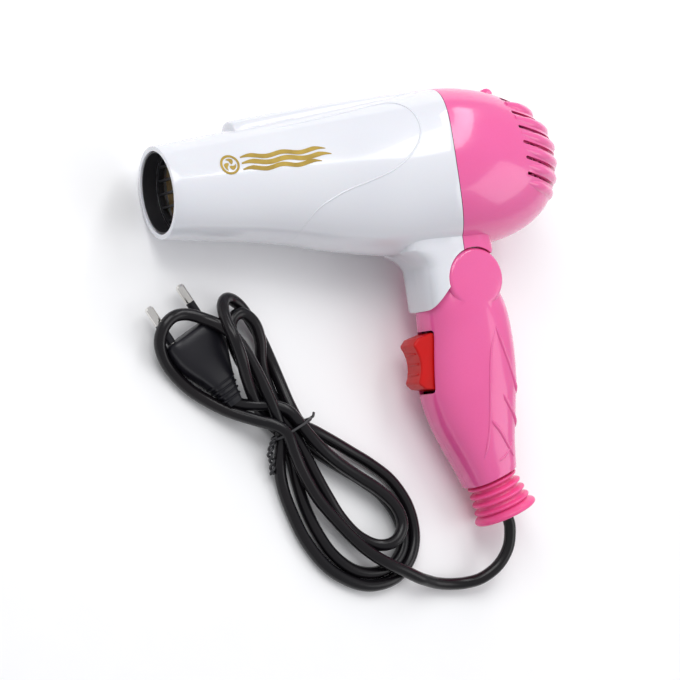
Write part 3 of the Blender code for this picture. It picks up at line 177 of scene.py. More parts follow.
class Loft:
    """Grows a closed piece from a circle, section by section."""

    def __init__(self, name: str, points: int, squareness: float = 1.0, offset: float = 0.5) -> None:
        """Start a loft.

        Args:
            name: Name of the finished piece.
            points: Number of points round a section.
            squareness: 1 for an ellipse, and less for a rounder-cornered box.
            offset: Turn of the first point, in steps.
        """
        self.name = name
        self.points = points
        self.squareness = squareness
        self.offset = offset

    def _first(self, ring: Ring) -> None:
        """Add the circle that the loft starts from and give it its outline."""
        bpy.ops.mesh.primitive_circle_add(vertices=self.points, radius=1, fill_type="NOTHING",
                                          location=(0, 0, 0))
        obj = bpy.context.object
        obj.name = obj.data.name = self.name
        bpy.ops.object.mode_set(mode="EDIT")
        mesh = edit_mesh()
        mesh.verts.ensure_lookup_table()
        for i, vert in enumerate(mesh.verts):
            angle = math.tau * (i + self.offset) / self.points
            cos, sin = math.cos(angle), math.sin(angle)
            side = math.copysign(abs(cos) ** self.squareness, cos) * ring.side
            rise = math.copysign(abs(sin) ** self.squareness, sin)
            rise *= ring.up if sin > 0 else ring.down
            vert.co = Vector((ring.at, ring.middle + rise, side))
            vert.select = True
        bmesh.update_edit_mesh(bpy.context.edit_object.data)

    @staticmethod
    def _next(last: Ring, ring: Ring) -> None:
        """Extrude the selected section and give the new one its place and size."""
        bpy.ops.mesh.extrude_region_move(
            TRANSFORM_OT_translate={"value": (ring.at - last.at, ring.middle - last.middle, 0)})
        mesh = edit_mesh()
        new = [vert for vert in mesh.verts if vert.select]
        centre = Vector((ring.at, ring.middle, 0))
        up, down = ring.up / last.up, ring.down / last.down
        if abs(up - down) < 1e-9:
            scale((1, up, ring.side / last.side), centre)
            return
        scale((1, 1, ring.side / last.side), centre)
        for sign, factor in ((1, up), (-1, down)):
            for vert in new:
                vert.select = (vert.co.y - ring.middle) * sign > 0
            mesh.select_flush_mode()
            scale((1, factor, 1), centre)
        for vert in new:
            vert.select = True
        mesh.select_flush(True)

    def build(self, rings: Sequence[Ring], closed: bool = True) -> bpy.types.Object:
        """Grow the piece.

        Args:
            rings: Its sections in order.
            closed: Whether both ends get a face.

        Returns:
            The lofted object, in object mode.
        """
        deselect_all()
        self._first(rings[0])
        if closed:
            bpy.ops.mesh.edge_face_add()
        for last, ring in zip(rings, rings[1:]):
            if closed and last is rings[0]:
                bpy.ops.mesh.select_all(action="SELECT")
            self._next(last, ring)
        if closed:
            bpy.ops.mesh.select_all(action="SELECT")
            bpy.ops.mesh.normals_make_consistent(inside=False)
        bpy.ops.object.mode_set(mode="OBJECT")
        return bpy.context.object


def outward(obj: bpy.types.Object) -> bpy.types.Object:
    """Weld a mesh and point its faces outwards."""
    pick(obj)
    bpy.ops.object.mode_set(mode="EDIT")
    bpy.ops.mesh.select_all(action="SELECT")
    bpy.ops.mesh.remove_doubles(threshold=0.001 * MM)
    bpy.ops.mesh.normals_make_consistent(inside=False)
    bpy.ops.object.mode_set(mode="OBJECT")
    return obj


def apply_modifier(obj: bpy.types.Object, kind: str, **settings: object) -> bpy.types.Object:
    """Add a modifier, set it and apply it.

    Args:
        obj: The piece.
        kind: The modifier's type.
        settings: Its settings.

    Returns:
        The same piece.
    """
    pick(obj)
    step = obj.modifiers.new(kind.lower(), kind)
    for name, value in settings.items():
        setattr(step, name, value)
    bpy.ops.object.modifier_apply(modifier=step.name)
    return obj


def combine(obj: bpy.types.Object, operation: str, *others: bpy.types.Object,
            keep: bool = False) -> bpy.types.Object:
    """Join, cut or trim a piece with others.

    Args:
        obj: The piece.
        operation: UNION, DIFFERENCE or INTERSECT.
        others: The pieces it is combined with.
        keep: Whether those stay in the scene.

    Returns:
        The same piece.
    """
    for other in others:
        apply_modifier(obj, "BOOLEAN", operation=operation, object=other, solver="EXACT")
        if not keep:
            bpy.data.objects.remove(other)
    return obj


def duplicate(obj: bpy.types.Object, name: str) -> bpy.types.Object:
    """Copy a piece with its own mesh."""
    pick(obj)
    bpy.ops.object.duplicate()
    made = bpy.context.object
    made.name = made.data.name = name
    return made


def block(name: str, low: Iterable[float], high: Iterable[float]) -> bpy.types.Object:
    """Box between two corners, a start or a cutter for other pieces."""
    low, high = Vector(low), Vector(high)
    deselect_all()
    bpy.ops.mesh.primitive_cube_add(size=1, location=(low + high) / 2)
    made = bpy.context.object
    made.name = name
    made.scale = high - low
    bpy.ops.object.transform_apply()
    return made


def rod(name: str, radius: float, start: Iterable[float], end: Iterable[float],
        points: int = 64) -> bpy.types.Object:
    """Round bar between two points, a start or a cutter for other pieces."""
    start, end = Vector(start), Vector(end)
    deselect_all()
    bpy.ops.mesh.primitive_cylinder_add(vertices=points, radius=radius, depth=(end - start).length)
    made = bpy.context.object
    made.name = name
    turn = (end - start).to_track_quat("Z", "Y").to_matrix().to_4x4()
    made.matrix_world = Matrix.Translation((start + end) / 2) @ turn
    bpy.ops.object.transform_apply()
    return made


def shade(obj: bpy.types.Object, degrees: float = 35) -> bpy.types.Object:
    """Smooth a piece's shading except over edges sharper than an angle."""
    pick(obj)
    bpy.ops.object.shade_smooth_by_angle(angle=math.radians(degrees))
    return obj


def settle(obj: bpy.types.Object, place: Matrix, body: Body, finish: "Finish",
           replaces: Sequence[str] = ()) -> bpy.types.Object:
    """Lay a finished piece in its place, dress it and hang it on its body.

    Args:
        obj: The piece, modelled in the axes of the place.
        place: Matrix of those axes.
        body: The body it moves with.
        finish: What it is made of.
        replaces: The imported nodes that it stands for.

    Returns:
        The same piece.
    """
    pick(obj)
    obj.matrix_world = place @ obj.matrix_world
    bpy.ops.object.transform_apply(location=True, rotation=True, scale=True)
    obj.data.materials.clear()
    obj.data.materials.append(finish.material())
    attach(obj, body.value)
    if replaces:
        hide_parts(*replaces)
    if obj.type == "MESH":
        LOG.info("%s: %d faces on %s", obj.name, len(obj.data.polygons), body.value)
    return obj


def refined(node: str, name: str, bevel: float, segments: int = 3, sharp: float = 30) -> bpy.types.Object:
    """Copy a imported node's mesh, weld it and soften its edges.

    Args:
        node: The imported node.
        name: Name of the new piece.
        bevel: Width of the softened edges.
        segments: Steps across a softened edge.
        sharp: Least angle of an edge that is softened, in degrees.

    Returns:
        The new piece, in the table's axes.
    """
    source = frame["nodes"][node]
    made = bpy.data.objects.new(name, source.data.copy())
    made.data.name = name
    bpy.context.scene.collection.objects.link(made)
    pick(made)
    bpy.ops.object.mode_set(mode="EDIT")
    bpy.ops.mesh.select_all(action="SELECT")
    bpy.ops.mesh.customdata_custom_splitnormals_clear()
    bpy.ops.mesh.remove_doubles(threshold=0.001 * MM)
    bpy.ops.mesh.dissolve_limited(angle_limit=math.radians(1))
    bpy.ops.object.mode_set(mode="OBJECT")
    apply_modifier(made, "BEVEL", width=bevel, segments=segments, limit_method="ANGLE",
                   angle_limit=math.radians(sharp), use_clamp_overlap=True, miter_outer="MITER_ARC")
    return shade(made)


# --- finishes ----------------------------------------------------------------------------------
class Wire:
    """An output socket, or a number, that can be used in an expression."""

    def __init__(self, tree: bpy.types.NodeTree, socket: bpy.types.NodeSocket) -> None:
        """Wrap a socket of a node tree."""
        self.tree = tree
        self.socket = socket

    def _math(self, operation: str, *values: object) -> "Wire":
        """Add a Math node that works on the values in order."""
        return node(self.tree, "ShaderNodeMath", {"operation": operation},
                    {i: value for i, value in enumerate(values)})

    def __add__(self, other: object) -> "Wire":
        """Return the sum."""
        return self._math("ADD", self, other)

    __radd__ = __add__

    def __sub__(self, other: object) -> "Wire":
        """Return the difference."""
        return self._math("SUBTRACT", self, other)

    def __rsub__(self, other: object) -> "Wire":
        """Return the difference from a number."""
        return self._math("SUBTRACT", other, self)

    def __mul__(self, other: object) -> "Wire":
        """Return the product."""
        return self._math("MULTIPLY", self, other)

    __rmul__ = __mul__

    def clamped(self) -> "Wire":
        """Return the value kept between 0 and 1."""
        return self._math("MINIMUM", self._math("MAXIMUM", self, 0.0), 1.0)


def node(tree: bpy.types.NodeTree, kind: str, settings: dict | None = None,
         values: dict | None = None, output: int | str = 0) -> Wire:
    """Add a node of any type.

    Args:
        tree: The node tree it goes into.
        kind: Its type.
        settings: Its settings, such as a Math node's operation or a ramp's stops.
        values: Values or wires of its input sockets, by name or number.
        output: Which output is returned.

    Returns:
        The chosen output, wrapped.
    """
    made = tree.nodes.new(kind)
    for name, value in (settings or {}).items():
        if name == "stops":
            ramp = made.color_ramp.elements
            for i, (place, colour) in enumerate(value):
                stop = ramp[i] if i < len(ramp) else ramp.new(place)
                stop.position, stop.color = place, colour
        else:
            setattr(made, name, value)
    for name, value in (values or {}).items():
        if isinstance(value, Wire):
            tree.links.new(value.socket, made.inputs[name])
        else:
            made.inputs[name].default_value = value
    return Wire(tree, made.outputs[output])


def blend_colours(tree: bpy.types.NodeTree, share: object, first: object, second: object) -> Wire:
    """Mix two colours by a share."""
    return node(tree, "ShaderNodeMix", {"data_type": "RGBA"}, {0: share, 6: first, 7: second}, 2)


Colour = tuple[float, float, float, float]


@dataclass(frozen=True)
class Finish:
    """What a piece is made of.

    Attributes:
        name: Name of the material.
        slot: The record's slot that it fills.
        colour: Main colour.
        shade_colour: Colour that it drifts towards in soft patches.
        roughness: Least roughness.
        roughness_spread: What the patches add to it.
        grain: Patches per metre of the fine grain.
        bump: Depth of the grain, in metres.
        metallic: Share of metal.
        coat: Weight of the clear coat.
        drift: Patches per metre of the slow colour drift.
        stretch: Scale of the grain along each axis, for brushed metal or drawn cord.
        subsurface: Share of light that wanders inside.
        specular: Strength of the plain reflection.
    """

    name: str
    slot: Slot
    colour: Colour
    shade_colour: Colour
    roughness: float = 0.2
    roughness_spread: float = 0.1
    grain: float = 900.0
    bump: float = 0.00003
    metallic: float = 0.0
    coat: float = 0.0
    drift: float = 18.0
    stretch: tuple[float, float, float] = (1.0, 1.0, 1.0)
    subsurface: float = 0.0
    specular: float = 0.5

    def material(self) -> bpy.types.Material:
        """Return the material, made on first use."""
        found = bpy.data.materials.get(self.name)
        if found:
            return found
        made = bpy.data.materials.new(self.name)
        made.use_nodes = True
        made.diffuse_color = self.colour
        tree = made.node_tree
        shader = tree.nodes["Principled BSDF"]
        shader.inputs["Metallic"].default_value = self.metallic
        shader.inputs["Coat Weight"].default_value = self.coat
        shader.inputs["Coat Roughness"].default_value = 0.05
        shader.inputs["Subsurface Weight"].default_value = self.subsurface
        shader.inputs["Subsurface Scale"].default_value = 2 * MM
        shader.inputs["Specular IOR Level"].default_value = self.specular
        self.dress(tree, shader)
        return made

    def patches(self, tree: bpy.types.NodeTree, size: float, detail: float = 3.0,
                stretch: tuple[float, float, float] | None = None) -> Wire:
        """Return a noise of so many patches per metre, fixed to the piece."""
        place = node(tree, "ShaderNodeTexCoord", output="Object")
        turned = node(tree, "ShaderNodeMapping", None,
                      {"Vector": place, "Scale": stretch or self.stretch})
        return node(tree, "ShaderNodeTexNoise", None,
                    {"Vector": turned, "Scale": size, "Detail": detail})

    def dress(self, tree: bpy.types.NodeTree, shader: bpy.types.Node) -> None:
        """Wire the colour, roughness and grain.

        Args:
            tree: The material's node tree.
            shader: Its main shader.
        """
        drift = self.patches(tree, self.drift, 2.0, (1.0, 1.0, 1.0))
        grain = self.patches(tree, self.grain)
        smears = self.patches(tree, self.drift * 6, 4.0)
        share = ((drift - 0.35) * 2.2 + (grain - 0.5) * 0.35).clamped()
        colour = blend_colours(tree, share, self.colour, self.shade_colour)
        rough = (smears * self.roughness_spread + self.roughness).clamped()
        tree.links.new(colour.socket, shader.inputs["Base Color"])
        tree.links.new(rough.socket, shader.inputs["Roughness"])
        bump = node(tree, "ShaderNodeBump", None,
                    {"Strength": 0.6, "Distance": self.bump, "Height": self.relief(tree, grain)})
        tree.links.new(bump.socket, shader.inputs["Normal"])

    def relief(self, tree: bpy.types.NodeTree, grain: Wire) -> Wire:
        """Return the height that the bump follows."""
        return grain


@dataclass(frozen=True)
class Stippled(Finish):
    """Moulded plastic with a stippled, matt face."""

    stipple: float = 1600.0

    def relief(self, tree: bpy.types.NodeTree, grain: Wire) -> Wire:
        """Return the height of fine round dimples."""
        place = node(tree, "ShaderNodeTexCoord", output="Object")
        cells = node(tree, "ShaderNodeTexVoronoi", None, {"Vector": place, "Scale": self.stipple})
        return cells * 0.8 + grain * 0.4


@dataclass(frozen=True)
class Flaked(Finish):
    """Sheet of pressed flakes, such as mica."""

    flakes: float = 260.0

    def dress(self, tree: bpy.types.NodeTree, shader: bpy.types.Node) -> None:
        """Wire flakes of different brown, each with its own sheen."""
        place = node(tree, "ShaderNodeTexCoord", output="Object")
        flake = node(tree, "ShaderNodeTexVoronoi", None, {"Vector": place, "Scale": self.flakes}, "Color")
        tone = node(tree, "ShaderNodeRGBToBW", None, {0: flake})
        colour = blend_colours(tree, tone, self.colour, self.shade_colour)
        rough = (tone * self.roughness_spread + self.roughness).clamped()
        tree.links.new(colour.socket, shader.inputs["Base Color"])
        tree.links.new(rough.socket, shader.inputs["Roughness"])
        bump = node(tree, "ShaderNodeBump", None, {"Strength": 0.5, "Distance": self.bump, "Height": tone})
        tree.links.new(bump.socket, shader.inputs["Normal"])


WHITE = Finish("white_shell_gloss", Slot.WHITE, (0.74, 0.75, 0.79, 1), (0.68, 0.69, 0.745, 1), 0.13, 0.12,
               1400, 0.00002, coat=0.5, drift=14, subsurface=0.05)
PINK = Finish("pink_shell_gloss", Slot.PINK, (0.82, 0.125, 0.36, 1), (0.75, 0.095, 0.31, 1), 0.13, 0.12,
              1400, 0.00002, coat=0.45, drift=16, subsurface=0.12)
RUBBER = Finish("pink_bellows_rubber", Slot.RUBBER, (0.86, 0.085, 0.30, 1), (0.76, 0.06, 0.23, 1), 0.32, 0.16,
                2200, 0.00004, coat=0.1, drift=40, subsurface=0.08)
RED = Stippled("red_rocker_stippled", Slot.RED, (0.56, 0.002, 0.002, 1), (0.44, 0.002, 0.002, 1), 0.26, 0.2,
               2400, 0.00005, drift=60, specular=0.3)
BLACK = Finish("black_moulded_plastic", Slot.BLACK, (0.016, 0.016, 0.019, 1), (0.028, 0.027, 0.03, 1), 0.28,
               0.2,
               1500, 0.00004, drift=40)
PLUG = Finish("black_plug_plastic", Slot.BLACK, (0.006, 0.006, 0.009, 1), (0.011, 0.010, 0.014, 1), 0.26,
              0.12,
              1500, 0.00003, drift=40, specular=0.3)
CORD = Finish("black_cord_jacket", Slot.CORD, (0.0045, 0.004, 0.0055, 1), (0.0085, 0.0065, 0.008, 1), 0.2,
              0.07,
              2600, 0.000012, coat=0.0, drift=50, specular=0.3)
STEEL = Finish("plated_steel", Slot.STEEL, (0.60, 0.60, 0.62, 1), (0.50, 0.50, 0.53, 1), 0.22, 0.2,
               900, 0.00001, metallic=1.0, stretch=(1, 1, 6), drift=60)
NICKEL = Finish("bright_nickel", Slot.NICKEL, (0.80, 0.78, 0.75, 1), (0.68, 0.66, 0.62, 1), 0.08, 0.14,
                1200, 0.000008, metallic=1.0, drift=90)
GOLD = Finish("gold_foil", Slot.BRASS, (0.40, 0.27, 0.035, 1), (0.27, 0.175, 0.02, 1), 0.38, 0.2,
              1800, 0.00002, metallic=0.25, drift=160)
BRASS = Finish("bare_brass", Slot.BRASS, (0.70, 0.49, 0.22, 1), (0.55, 0.36, 0.14, 1), 0.26, 0.2,
               900, 0.00002, metallic=1.0, drift=80)
MICA = Flaked("mica_sheet", Slot.MICA, (0.40, 0.27, 0.13, 1), (0.62, 0.47, 0.26, 1), 0.3, 0.35, 300, 0.00005)
NICHROME = Finish("nichrome_wire", Slot.WIRE, (0.30, 0.28, 0.28, 1), (0.22, 0.17, 0.20, 1), 0.3, 0.25,
                  2400, 0.00002, metallic=1.0, drift=120)
BOARD = Finish("green_circuit_board", Slot.BOARD, (0.04, 0.20, 0.08, 1), (0.03, 0.14, 0.06, 1), 0.35, 0.2,
               1400, 0.00003, drift=120)
BEIGE = Finish("beige_moulded_plastic", Slot.BEIGE, (0.72, 0.66, 0.53, 1), (0.62, 0.55, 0.42, 1), 0.4, 0.2,
               1300, 0.00004, drift=60)

NODE_FINISHES = {
    "body_screw_1": STEEL, "body_screw_2": STEEL, "handle_screw_1": STEEL, "handle_screw_2": STEEL,
    "hinge_pin": STEEL, "hinge_washer_near": STEEL, "hinge_washer_far": STEEL, "rocker_pin": STEEL,
    "switch_housing": BLACK, "switch_terminal_1": BRASS, "switch_terminal_2": BRASS,
    "switch_terminal_3": BRASS, "switch_wires": CORD, "cord_clamp": BEIGE, "cord_tail": CORD,
    "inlet_screen": BLACK, "motor_mount": BLACK, "motor_can": STEEL, "motor_end_cap": BLACK,
    "motor_board": BOARD, "mica_liner": MICA, "mica_card_a": MICA, "mica_card_b": MICA,
    "heater_coil": NICHROME, "thermostat": STEEL, "thermal_fuse": BEIGE, "outlet_grille": BLACK,
    "heater_leads": CORD, "motor_shaft": STEEL, "fan_impeller": BLACK,
    "plug_pin_left": NICKEL, "plug_pin_right": NICKEL, "pin_sleeve_left": PLUG, "pin_sleeve_right": PLUG,
}


def dress_packed_nodes() -> None:
    """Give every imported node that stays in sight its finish."""
    for name, obj in frame["nodes"].items():
        finish = NODE_FINISHES.get(name)
        if finish is None or obj.hide_render:
            continue
        obj.data.materials.clear()
        obj.data.materials.append(finish.material())
        shade(obj, 40)
        LOG.info("%s: %s", name, finish.name)


# --- barrel and rear cap -----------------------------------------------------------------------
@dataclass
class BarrelShell:
    """White barrel in two halves and pink rear cap, on one tapered body.

    Attributes:
        stations: Place along the barrel, top, bottom and half width.
        shoulder: Where the barrel is widest and the rounded rear begins.
        rear_length: From there to the rearmost point.
        wall: Thickness of the shell.
        seam: Crown of the curved joint between barrel and cap, and its radius.
    """

    stations: tuple[tuple[float, float, float, float], ...] = (
        (0, 20, -20, 20), (22, 21.8, -23.4, 21.4), (42, 23.6, -26.4, 22.8), (59, 25.0, -29.8, 24.4),
        (73, 26.2, -33.5, 26.0), (95, 28.1, -38.2, 29.0), (108, 29.2, -40.2, 30.5), (138, 31.8, -41.2, 33.0))
    shoulder: float = 138 * MM
    rear_length: float = 55.6 * MM
    wall: float = 2 * MM
    seam: tuple[float, float] = (137 * MM, 68 * MM)
    gap: float = 0.3 * MM
    rear_powers: tuple[float, float, float] = (2.0, 2.6, 2.2)
    pivot: tuple[float, float] = (139.5 * MM, -55.5 * MM)
    knuckle: float = 13.8 * MM
    neck_front: float = 117 * MM
    neck_rear: float = 152.7 * MM
    neck_half_width: float = 16.6 * MM
    neck_end: float = -69 * MM
    points: int = 96

    def section(self, x: float) -> Ring:
        """Return the body's section at x, on a smooth curve through the stations."""
        rows = [tuple(value * MM for value in row) for row in self.stations]
        if x > self.shoulder:
            top, bottom, side = rows[-1][1:]
            reach, middle = (top - bottom) / 2, (top + bottom) / 2
            t = min((x - self.shoulder) / self.rear_length, 1)
            up, down, across = (size * (1 - t**power) ** (1 / power) for size, power
                                in zip((reach, reach, side), self.rear_powers))
            return Ring(x, middle, up, down, across)
        last = len(rows) - 2
        i = max(k for k in range(last + 1) if k == 0 or rows[k][0] <= x)
        near = (rows[max(i - 1, 0)], rows[i], rows[i + 1], rows[min(i + 2, last + 1)])
        span = near[2][0] - near[1][0]
        t = (x - near[1][0]) / span
        values = []
        for column in (1, 2, 3):
            low = (near[2][column] - near[0][column]) / (near[2][0] - near[0][0]) * span
            high = (near[3][column] - near[1][column]) / (near[3][0] - near[1][0]) * span
            values.append((2 * t**3 - 3 * t**2 + 1) * near[1][column] + (t**3 - 2 * t**2 + t) * low
                          + (3 * t**2 - 2 * t**3) * near[2][column] + (t**3 - t**2) * high)
        top, bottom, side = values
        return Ring(x, (top + bottom) / 2, (top - bottom) / 2, (top - bottom) / 2, side)

    def side_at(self, x: float, y: float) -> float:
        """Return how far the body's surface lies out to the side at a point of its side view."""
        ring = self.section(x)
        reach = ring.up if y > ring.middle else ring.down
        return ring.side * math.sqrt(max(0.0, 1 - ((y - ring.middle) / reach) ** 2))

    def body(self, inset: float) -> bpy.types.Object:
        """Build the solid of barrel and cap together, inset from the surface."""
        places = [self.shoulder * i / 26 for i in range(27)]
        length = self.rear_length - inset
        steps = 16
        turns = [math.sin(math.pi / 2 * i / steps) for i in range(1, steps)] + [0.9985]
        rings = []
        for x in places:
            ring = self.section(x)
            rings.append(Ring(x, ring.middle, ring.up - inset, ring.down - inset, ring.side - inset))
        for share in turns:
            ring = self.section(self.shoulder + self.rear_length * share)
            less = inset * (1 - share)
            rings.append(Ring(self.shoulder + length * share, ring.middle, max(ring.up - less, 0.1 * MM),
                              max(ring.down - less, 0.1 * MM), max(ring.side - less, 0.1 * MM)))
        if inset:
            first = rings[0]
            rings.insert(0, Ring(-4 * MM, first.middle, first.up, first.down, first.side))
        return Loft("body_start", self.points).build(rings)

    def rib(self) -> bpy.types.Object:
        """Build the low rib along the top, blunt in front and fading out behind."""
        front, rear, half_width, height = 37 * MM, 132 * MM, 7 * MM, 3.6 * MM
        rings = []
        for i in range(15):
            t = i / 14
            x = front + (rear - front) * t
            ring = self.section(x)
            rise = height * (1 - t**2) + 0.2 * MM
            rings.append(Ring(x, ring.middle + ring.up - 3 * MM, 3 * MM + rise, 2 * MM,
                              half_width * (1 - 0.3 * t)))
        made = Loft("rib_start", 48, 0.7).build(rings)
        return apply_modifier(made, "BEVEL", width=1.1 * MM, segments=4, limit_method="ANGLE",
                              angle_limit=math.radians(50))

    def neck(self) -> bpy.types.Object:
        """Build the neck below the barrel, flared in front where it runs into the underside."""
        flare = 9 * MM
        root = self.section(self.neck_front)
        top = root.middle - root.down
        levels = [(top + 8 * MM, self.neck_front - flare)]
        for i in range(9):
            turn = math.sin(math.pi / 2 * i / 8)
            levels.append((top + 1 * MM - flare * turn, self.neck_front - flare * (1 - turn) ** 2))
        levels.append((self.neck_end, self.neck_front))
        rings = []
        for y, front in levels:
            reach = (self.neck_rear - front) / 2
            rings.append(Ring(-y, (front + self.neck_rear) / 2, reach, reach, self.neck_half_width))
        made = Loft("neck_start", 64, 0.42).build(rings)
        made.matrix_world = Matrix(((0, 1, 0, 0), (-1, 0, 0, 0), (0, 0, 1, 0), (0, 0, 0, 1)))
        pick(made)
        bpy.ops.object.transform_apply()
        return outward(made)

    def under_neck(self) -> bpy.types.Object:
        """Build the cutter for the stop face, and for what the tongue leaves open."""
        stop_top, stop_bottom = Vector((126.6 * MM, -56.5 * MM, 0)), Vector((116 * MM, -67.8 * MM, 0))
        start = stop_bottom + (stop_bottom - stop_top).normalized() * 4 * MM
        reach = self.neck_rear - self.pivot[0] + 1 * MM
        drop = self.pivot[1] - 30 * MM
        outline = [start, stop_top, Vector((*self.pivot, 0)),
                   Vector((self.pivot[0] + reach, self.pivot[1] + reach * math.tan(math.radians(47)), 0)),
                   Vector((self.pivot[0] + reach, drop, 0)), Vector((start.x, drop, 0))]
        return prism("under_neck", [(p.x, p.y) for p in outline], -60 * MM, 60 * MM)

    def behind_seam(self, shift: float) -> bpy.types.Object:
        """Build the region behind the curved joint."""
        crown, radius = self.seam
        centre = crown - radius + shift
        region = block("behind_seam", (centre, -90 * MM, -60 * MM), (centre + 160 * MM, 60 * MM, 60 * MM))
        drum = rod("seam_drum", radius, (centre, -120 * MM, 0), (centre, 90 * MM, 0), 256)
        return combine(region, "DIFFERENCE", drum)

    def build(self) -> bpy.types.Object:
        """Build the barrel halves, the cap and what is raised on them.

        Returns:
            The outer body, kept for laying the raised line and the gold motif on it.
        """
        outer = self.body(0)
        inner = self.body(self.wall)
        neck, rib, under = self.neck(), self.rib(), self.under_neck()
        room = rod("knuckle_room", self.knuckle + self.gap, (*self.pivot, -60 * MM), (*self.pivot, 60 * MM),
                   128)
        barrel = duplicate(outer, "barrel_shell")
        combine(barrel, "UNION", neck, rib, keep=True)
        combine(barrel, "DIFFERENCE", inner, room, under, keep=True)
        combine(barrel, "DIFFERENCE", self.behind_seam(0))
        self.lug(barrel)
        self.soften(barrel, 0.45 * MM, 2)
        for sign, side in ((1, "near"), (-1, "far")):
            half = duplicate(barrel, f"barrel_shell_{side}")
            self.halve(half, sign)
            settle(shade(half, 32), DRYER, Body.BARREL, WHITE, [f"barrel_{side}_half"])
        cap = duplicate(outer, "rear_cap_louvred")
        combine(cap, "UNION", neck, keep=True)
        combine(cap, "DIFFERENCE", inner, room, under, keep=True)
        ahead = self.behind_seam(self.gap)
        combine(cap, "INTERSECT", ahead)
        self.cut_louvres(cap)
        settle(shade(cap, 32), DRYER, Body.BARREL, PINK, ["rear_cap"])
        self.inlet_mesh()
        # The black ring inside the mouth is painted shade on the white inner wall.
        self.mouth_painted_shade_ring()
        for spare in (barrel, inner, neck, rib, under, room):
            bpy.data.objects.remove(spare)
        return outer

    def lug(self, barrel: bpy.types.Object) -> None:
        """Add the hinge lug with its bore."""
        half = 5.4 * MM
        lug = rod("lug", 12.8 * MM, (*self.pivot, -half), (*self.pivot, half), 96)
        web = block("lug_web", (self.neck_front + 6 * MM, -55.5 * MM, -half + 0.01 * MM),
                    (self.pivot[0] - 4 * MM, -42.2 * MM, half - 0.01 * MM))
        combine(barrel, "UNION", lug, web)
        bore = rod("lug_bore", 2.6 * MM, (*self.pivot, -60 * MM), (*self.pivot, 60 * MM), 48)
        way = block("wire_way", (125.6 * MM, -48 * MM, -3 * MM), (133.5 * MM, -34 * MM, 3 * MM))
        combine(barrel, "DIFFERENCE", bore, way)
        for place, head in (((112.5 * MM, -31.5 * MM), -21 * MM), ((121.3 * MM, -51.5 * MM), -11 * MM)):
            combine(barrel, "DIFFERENCE",
                    rod("screw_room", 2.9 * MM, (*place, -60 * MM), (*place, head + 1.9 * MM), 40))

    def mouth_painted_shade_ring(self) -> None:
        """Build a black ring on the mouth's inner wall: painted shade, where the wall is the white shell in
        shade.
        """
        inner = self.wall + 0.15 * MM
        radius = 20 * MM - inner
        thick = 0.7 * MM
        liner = Loft("mouth_painted_shade_ring", self.points).build(
            [round_ring(0.9 * MM, radius - thick), round_ring(0.7 * MM, radius - thick / 2),
             round_ring(0.9 * MM, radius), round_ring(7.2 * MM, radius + 0.35 * MM),
             round_ring(7.2 * MM, radius - thick)], closed=False)
        pick(liner)
        bpy.ops.object.mode_set(mode="EDIT")
        bpy.ops.mesh.select_all(action="DESELECT")
        mesh = edit_mesh()
        for edge in mesh.edges:
            edge.select = len(edge.link_faces) == 1
        bmesh.update_edit_mesh(liner.data)
        bpy.ops.mesh.bridge_edge_loops()
        bpy.ops.object.mode_set(mode="OBJECT")
        settle(shade(outward(liner), 40), DRYER, Body.BARREL, BLACK)

    def inlet_mesh(self) -> None:
        """Build the pink mesh that lies just inside the louvres and keeps hair out."""
        front, under = 164 * MM, 3.4 * MM
        length = self.rear_length - under
        rings = []
        for i in range(11):
            share = (front - self.shoulder) / length
            share += (0.985 - share) * math.sin(math.pi / 2 * i / 10)
            ring = self.section(self.shoulder + self.rear_length * share)
            less = under * (1 - 0.6 * share)
            rings.append(Ring(self.shoulder + length * share, ring.middle, max(ring.up - less, 1 * MM),
                              max(ring.down - less, 1 * MM), max(ring.side - less, 1 * MM)))
        mesh = Loft("inlet_mesh", self.points).build(rings, closed=False)
        outward(mesh)
        apply_modifier(mesh, "WIREFRAME", thickness=0.75 * MM, use_even_offset=True)
        settle(shade(mesh, 40), DRYER, Body.BARREL, PINK)

    @staticmethod
    def soften(obj: bpy.types.Object, width: float, segments: int, chooser: Chooser | None = None,
               sharp: float = 50) -> None:
        """Round a piece's sharp edges.

        Args:
            obj: The piece.
            width: Width of the rounding.
            segments: Steps across it.
            chooser: Test on the middle of an edge, where only some are rounded.
            sharp: Least angle of an edge that is rounded, in degrees.
        """
        pick(obj)
        bpy.ops.object.mode_set(mode="EDIT")
        bpy.ops.mesh.select_mode(type="EDGE")
        bpy.ops.mesh.select_all(action="SELECT")
        bpy.ops.mesh.remove_doubles(threshold=0.005 * MM)
        bpy.ops.mesh.dissolve_degenerate(threshold=0.005 * MM)
        bpy.ops.mesh.select_all(action="DESELECT")
        mesh = edit_mesh()
        for edge in mesh.edges:
            if len(edge.link_faces) != 2 or edge.calc_face_angle(0) < math.radians(sharp):
                continue
            middle = (edge.verts[0].co + edge.verts[1].co) / 2
            edge.select = chooser is None or chooser(middle)
        bmesh.update_edit_mesh(obj.data)
        bpy.ops.mesh.bevel(offset=width, segments=segments, affect="EDGES", clamp_overlap=True)
        bpy.ops.mesh.select_mode(type="VERT")
        bpy.ops.object.mode_set(mode="OBJECT")

    def halve(self, obj: bpy.types.Object, sign: int) -> None:
        """Keep one side of the parting plane, half a gap away from it."""
        pick(obj)
        bpy.ops.object.mode_set(mode="EDIT")
        bpy.ops.mesh.select_all(action="SELECT")
        bpy.ops.mesh.bisect(plane_co=(0, 0, sign * 0.05 * MM), plane_no=(0, 0, sign), use_fill=True,
                            clear_inner=True)
        bpy.ops.object.mode_set(mode="OBJECT")

